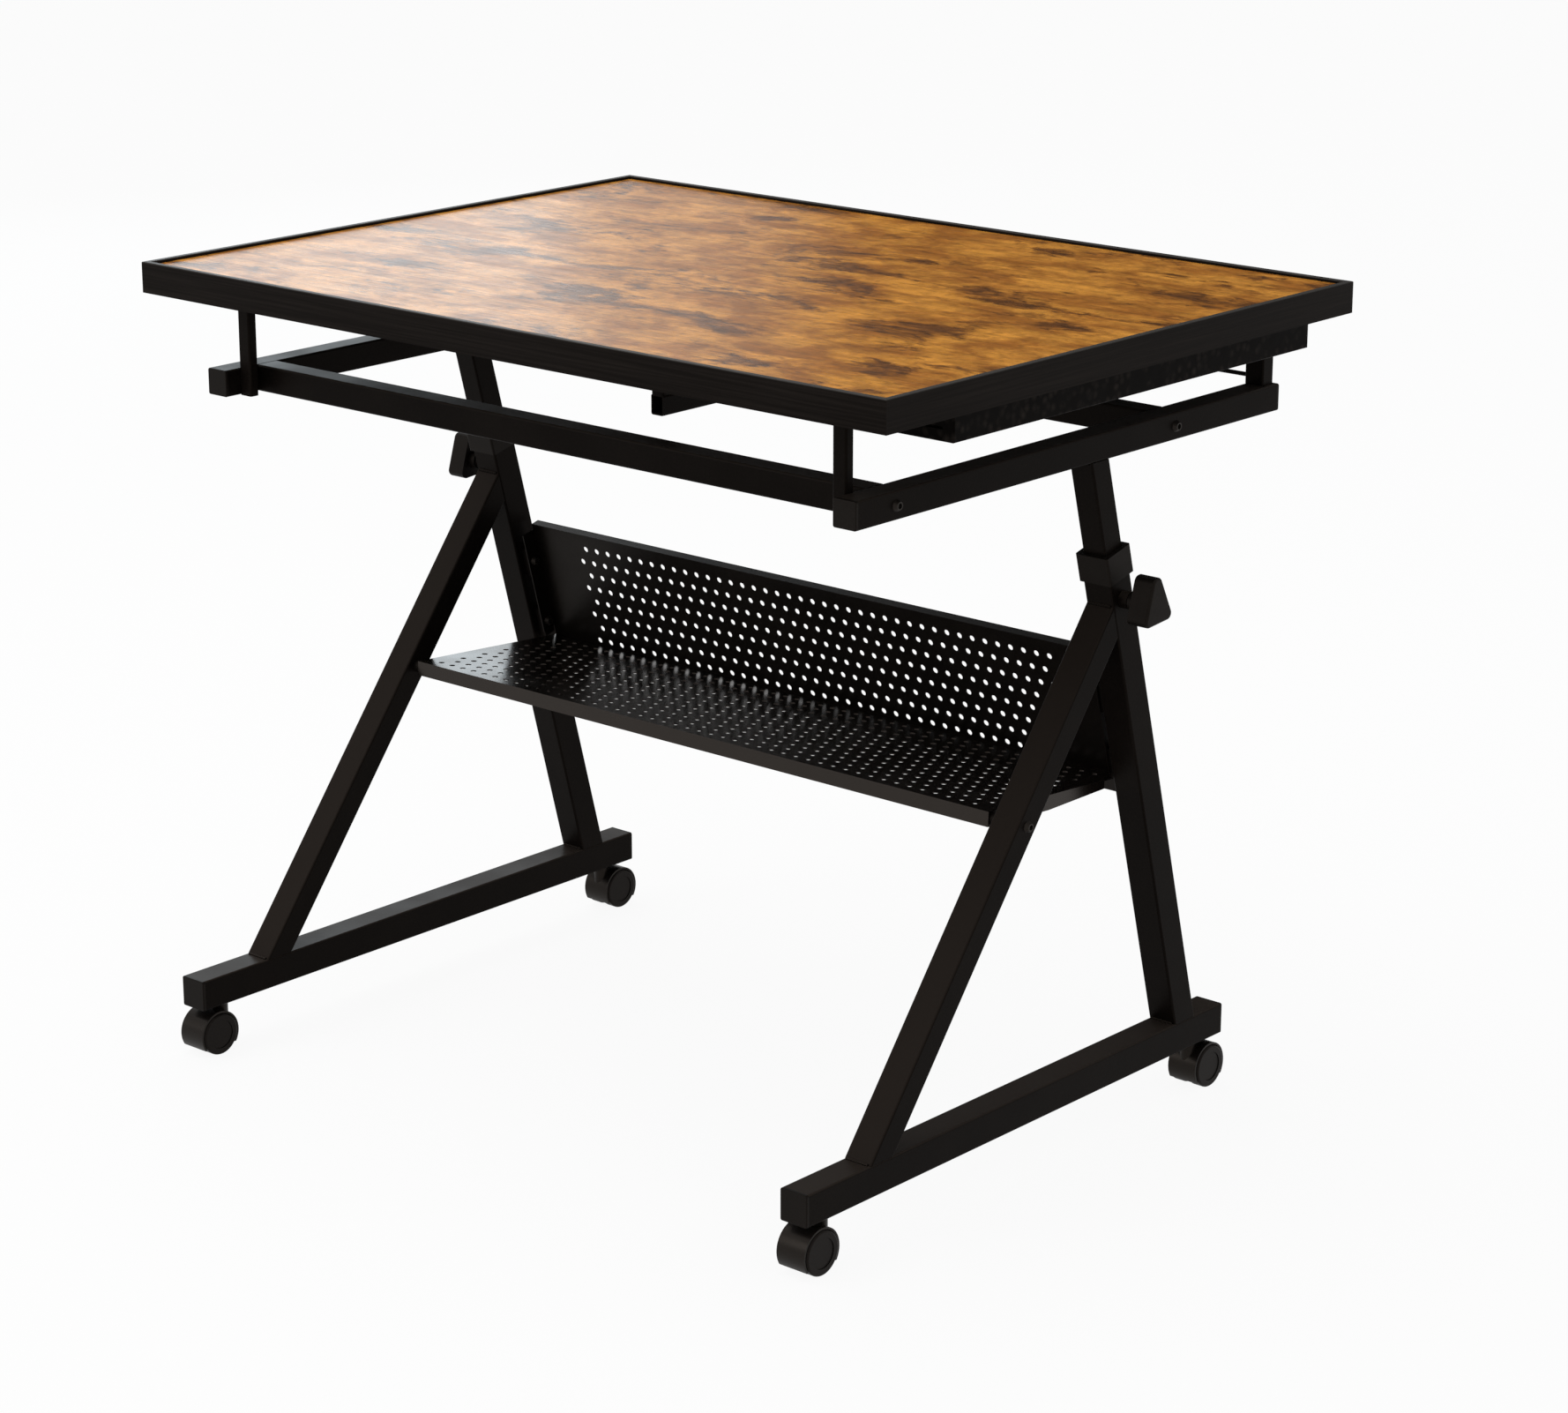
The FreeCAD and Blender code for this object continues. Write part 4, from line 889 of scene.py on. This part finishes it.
class PUZZLE_OT_castors(PieceOperator):
    """Dress the castors' satin hoods and nylon wheels"""
    bl_idname = "puzzle.castors"
    bl_label = "Dress Castors"

    def execute(self, context):
        plastic = self.settings.plastic
        hoods = [node for node in slot_nodes("plastic_black") if node.startswith("castor_")]
        dress(hoods, textured_material(
            "castor_hood_moulding", plastic.texture_size, plastic.base, plastic.scuffed,
            plastic.hood_roughness, plastic.hood_shine, HOOD_RELIEF))
        dress(slot_nodes("castor_tread"), textured_material(
            "castor_wheel_nylon", plastic.wheel_texture_size, plastic.tread, plastic.scuffed,
            plastic.wheel_roughness, plastic.wheel_shine, WHEEL_RELIEF))
        return {"FINISHED"}


class PUZZLE_OT_drawers(PieceOperator):
    """Dress both sorting drawers in speckled black laminate"""
    bl_idname = "puzzle.drawers"
    bl_label = "Dress Drawers"

    def execute(self, context):
        dress(slot_nodes("drawer_black"), drawer_material(self.settings.laminate))
        return {"FINISHED"}


class PUZZLE_OT_hardware(PieceOperator):
    """Dress the plated hardware and put detailed bolts, screws and nuts in place of the plain ones"""
    bl_idname = "puzzle.hardware"
    bl_label = "Add Hardware"

    def execute(self, context):
        metal = self.settings.metal
        fastener = self.settings.fastener
        zinc = textured_material("zinc_plate", metal.plate_grain, metal.zinc, metal.zinc_dull,
                                 metal.zinc_roughness, metal.shine, PLATE_RELIEF, 1.0)
        black = textured_material("black_oxide", metal.black_grain, metal.black, metal.black_rubbed,
                                  metal.black_roughness, metal.black_shine, PLATE_RELIEF)
        runner = textured_material("runner_steel", metal.plate_grain, metal.runner, metal.runner_dull,
                                   metal.runner_roughness, metal.shine, PLATE_RELIEF, 1.0)
        dress(slot_nodes("bright_steel"), zinc)
        dress(["drawer_runner_front", "drawer_runner_rear"], runner)
        dress(slot_nodes("bolt_black"), black)
        tree = make_fastener_tree()
        bolt_sizes = head_sizes("frame_bolts", Z, BOLT_HEAD)
        bolts = place_fasteners("side_tube_bolts", frame_bolt_places(), bolt_sizes, black, tree, fastener,
                                BOLT_SOCKET_SIDES)
        self.seat(bolts, "lift", "bolt_black", "frame_bolts")
        screw_sizes = head_sizes("board_screws", X, SCREW_HEAD)
        screws = place_fasteners("board_pan_screws", board_screw_places(), screw_sizes, zinc, tree, fastener,
                                 SCREW_SOCKET_SIDES)
        self.seat(screws, "lift", "bright_steel", "board_screws")
        shelf_bolts, shelf_nuts = shelf_fastener_places()
        studs = place_fasteners("shelf_button_bolts", shelf_bolts, bolt_sizes, black, tree, fastener,
                                BOLT_SOCKET_SIDES)
        nut_sizes = (bolt_sizes[0], NUT_LENGTH, bolt_sizes[2])
        nuts = place_fasteners("shelf_nuts", shelf_nuts, nut_sizes, black, tree, fastener, NUT_BORE_SIDES,
                               fastener.nut_sides)
        self.seat(join_pieces([studs, nuts]), "base", "bolt_black", "shelf_bolts")
        return {"FINISHED"}

    def seat(self, piece, body, slot, node):
        """Ties a fastener piece to its body and hides the plain node that it stands for."""
        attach(piece, body)
        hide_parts(node)


class PUZZLE_OT_weld_seams(PieceOperator):
    """Lay the painted weld seams where the legs meet the feet, each other and the side tubes"""
    bl_idname = "puzzle.weld_seams"
    bl_label = "Lay Weld Seams"

    def execute(self, context):
        weld = self.settings.weld
        tree = make_weld_tree()
        finish = bpy.data.materials["powder_coat_tube"]
        base_lines = []
        lift_lines = []
        for side in ("left", "right"):
            base_lines += end_seams("rear_leg_" + side, min, weld.end_gap)
            base_lines += end_seams("front_leg_" + side, min, weld.end_gap)
            base_lines += top_seams("front_leg_" + side, weld.end_gap)
            lift_lines += end_seams("inner_leg_" + side, max, weld.end_gap)
        lay_seams("base_weld_seams", base_lines, weld, tree, finish, "base")
        lay_seams("lift_weld_seams", lift_lines, weld, tree, finish, "lift")
        return {"FINISHED"}


class PUZZLE_OT_studio(PieceOperator):
    """Set up the pale floor, the soft lights and the camera"""
    bl_idname = "puzzle.studio"
    bl_label = "Set Up Studio"

    def execute(self, context):
        studio = self.settings.studio
        context.scene.view_settings.view_transform = "Standard"
        lay_floor(studio)
        light_surround(studio)
        hang_lights(studio)
        stand_card()
        set_camera(studio)
        return {"FINISHED"}


# Studio

FLOOR_SIZE = 60.0
SENSOR_WIDTH = 36.0
VIEW_REACH = 200.0

# Where the lights aim, as a share of the board's height
AIM_SHARE = 0.8

# The dark card behind the table: its feet, its height and how far its near lower corner is cut back
CARD_NEAR = (-3.28, 2.99, 0.0)
CARD_FAR = (1.6, 5.3, 0.0)
CARD_HEIGHT = 3.4
CARD_CUT = 1.0
CARD_BLACK = (0.01, 0.01, 0.01)


def backdrop_mask(tree):
    """One where a ray comes from the camera or from a shiny or clear surface."""
    path = tree.nodes.new("ShaderNodeLightPath").outputs
    seen = maths(tree, "MAXIMUM", path["Is Camera Ray"], path["Is Glossy Ray"])
    return maths(tree, "MAXIMUM", seen, path["Is Transmission Ray"])


def lay_floor(studio):
    """A wide pale floor that shows as white to the camera and keeps the table's shadow."""
    half = FLOOR_SIZE / 2
    corners = [(-half, -half, 0.0), (half, -half, 0.0), (half, half, 0.0), (-half, half, 0.0)]
    mesh = bpy.data.meshes.new("studio_floor")
    mesh.from_pydata(corners, [], [(0, 1, 2, 3)])
    floor = bpy.data.objects.new("studio_floor", mesh)
    bpy.context.scene.collection.objects.link(floor)
    material = bpy.data.materials.new("studio_floor_paper")
    material.use_nodes = True
    tree = material.node_tree
    tree.nodes.clear()
    paper = add_node(tree, "ShaderNodeBsdfDiffuse", {"Color": rgba(studio.floor)})
    glow = add_node(tree, "ShaderNodeEmission", {"Color": rgba(WHITE), "Strength": 1.0})
    amount = maths(tree, "MULTIPLY", backdrop_mask(tree), studio.backdrop_share)
    blend = add_node(tree, "ShaderNodeMixShader", {0: amount, 1: paper.outputs[0], 2: glow.outputs[0]})
    output = tree.nodes.new("ShaderNodeOutputMaterial")
    tree.links.new(blend.outputs[0], output.inputs["Surface"])
    mesh.materials.append(material)


def light_surround(studio):
    """An even pale surround: as white to the camera as the far floor, and softer as light."""
    world = bpy.data.worlds.new("studio_surround")
    bpy.context.scene.world = world
    world.use_nodes = True
    tree = world.node_tree
    tree.nodes.clear()
    strength = ranged(tree, backdrop_mask(tree), 0.0, 1.0, studio.surround, studio.horizon)
    glow = add_node(tree, "ShaderNodeBackground", {"Color": rgba(WHITE), "Strength": strength})
    output = tree.nodes.new("ShaderNodeOutputWorld")
    tree.links.new(glow.outputs[0], output.inputs["Surface"])


def hang_light(name, place, size, power, tint=WHITE):
    """One soft rectangular light, placed from the middle of the board's top and aimed below it."""
    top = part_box("board")[1][2]
    lamp = bpy.data.lights.new(name, "AREA")
    lamp.shape = "RECTANGLE"
    lamp.size, lamp.size_y = size
    lamp.energy = power
    lamp.color = tint
    light = bpy.data.objects.new(name, lamp)
    light.location = (place[0], place[1], top + place[2])
    light.visible_camera = False
    aim = Vector((0.0, 0.0, top * AIM_SHARE))
    light.rotation_euler = (aim - light.location).to_track_quat("-Z", "Y").to_euler()
    bpy.context.scene.collection.objects.link(light)


def hang_lights(studio):
    """A broad soft light above, a softer one at the front left and one far behind that glares on the board."""
    hang_light("top_softbox", (-0.7, -0.3, 2.4), (2.6, 2.2), studio.top_light)
    hang_light("front_softbox", (-2.0, -3.0, 0.9), (1.6, 1.6), studio.side_light)
    hang_light("back_softbox", (-4.1, 2.6, 0.85), (2.0, 1.5), studio.back_light, studio.back_tint)


def stand_card():
    """A dark card far behind the table, seen only in reflections, that keeps the wood's colour deep."""
    mesh = bpy.data.meshes.new("studio_card")
    near = Vector(CARD_NEAR)
    far = Vector(CARD_FAR)
    rise = Vector((0.0, 0.0, CARD_HEIGHT))
    near_foot = near + (far - near).normalized() * CARD_CUT
    mesh.from_pydata([near_foot, far, far + rise, near + rise], [], [(0, 1, 2, 3)])
    card = bpy.data.objects.new("studio_card", mesh)
    bpy.context.scene.collection.objects.link(card)
    material, tree, place, shader = open_material("studio_card_black")
    shader.inputs["Base Color"].default_value = rgba(CARD_BLACK)
    shader.inputs["Roughness"].default_value = 1.0
    mesh.materials.append(material)
    card.visible_camera = False
    card.visible_diffuse = False
    card.visible_shadow = False


def set_camera(studio):
    """The camera at the photograph's viewing angle."""
    data = bpy.data.cameras.new("table_camera")
    data.lens = studio.lens
    data.sensor_width = SENSOR_WIDTH
    data.clip_end = VIEW_REACH
    camera = bpy.data.objects.new("table_camera", data)
    flat = math.cos(studio.elevation)
    offset = Vector((math.sin(studio.azimuth) * flat, -math.cos(studio.azimuth) * flat,
                     math.sin(studio.elevation)))
    camera.location = Vector(studio.target) + offset * studio.distance
    camera.rotation_euler = (-offset).to_track_quat("-Z", "Y").to_euler()
    bpy.context.scene.collection.objects.link(camera)
    bpy.context.scene.camera = camera


# Sidebar

STEPS = ("puzzle.board", "puzzle.edge_rails", "puzzle.steelwork", "puzzle.mouldings", "puzzle.castors",
         "puzzle.drawers", "puzzle.hardware", "puzzle.weld_seams", "puzzle.studio")


class PUZZLE_PT_looks(bpy.types.Panel):
    """The puzzle table's settings and steps"""
    bl_idname = "PUZZLE_PT_looks"
    bl_label = "Puzzle Table"
    bl_space_type = "VIEW_3D"
    bl_region_type = "UI"
    bl_category = "Puzzle Table"

    def draw(self, context):
        settings = context.scene.puzzle_table
        for group_name in settings.bl_rna.properties.keys():
            group = getattr(settings, group_name)
            if not isinstance(group, bpy.types.PropertyGroup):
                continue
            box = self.layout.box()
            for name in group.bl_rna.properties.keys():
                if name not in ("rna_type", "name"):
                    box.prop(group, name)
        for step in STEPS:
            self.layout.operator(step)


CLASSES = (WoodSettings, CoatSettings, LaminateSettings, PlasticSettings, MetalSettings, FastenerSettings,
           WeldSettings, StudioSettings, PuzzleTableSettings, PUZZLE_OT_board, PUZZLE_OT_edge_rails,
           PUZZLE_OT_steelwork, PUZZLE_OT_mouldings, PUZZLE_OT_castors, PUZZLE_OT_drawers, PUZZLE_OT_hardware,
           PUZZLE_OT_weld_seams, PUZZLE_OT_studio, PUZZLE_PT_looks)


def register():
    """Adds the classes and the scene's settings."""
    for each in CLASSES:
        bpy.utils.register_class(each)
    bpy.types.Scene.puzzle_table = PointerProperty(type=PuzzleTableSettings)


def unregister():
    """Takes the settings and the classes away again."""
    del bpy.types.Scene.puzzle_table
    for each in reversed(CLASSES):
        bpy.utils.unregister_class(each)


def main():
    """Dresses the table and sets up the studio."""
    register()
    bpy.ops.puzzle.board()
    bpy.ops.puzzle.edge_rails()
    bpy.ops.puzzle.steelwork()
    bpy.ops.puzzle.mouldings()
    bpy.ops.puzzle.castors()
    bpy.ops.puzzle.drawers()
    bpy.ops.puzzle.hardware()
    bpy.ops.puzzle.weld_seams()
    bpy.ops.puzzle.studio()


if __name__ == "__main__":
    main()
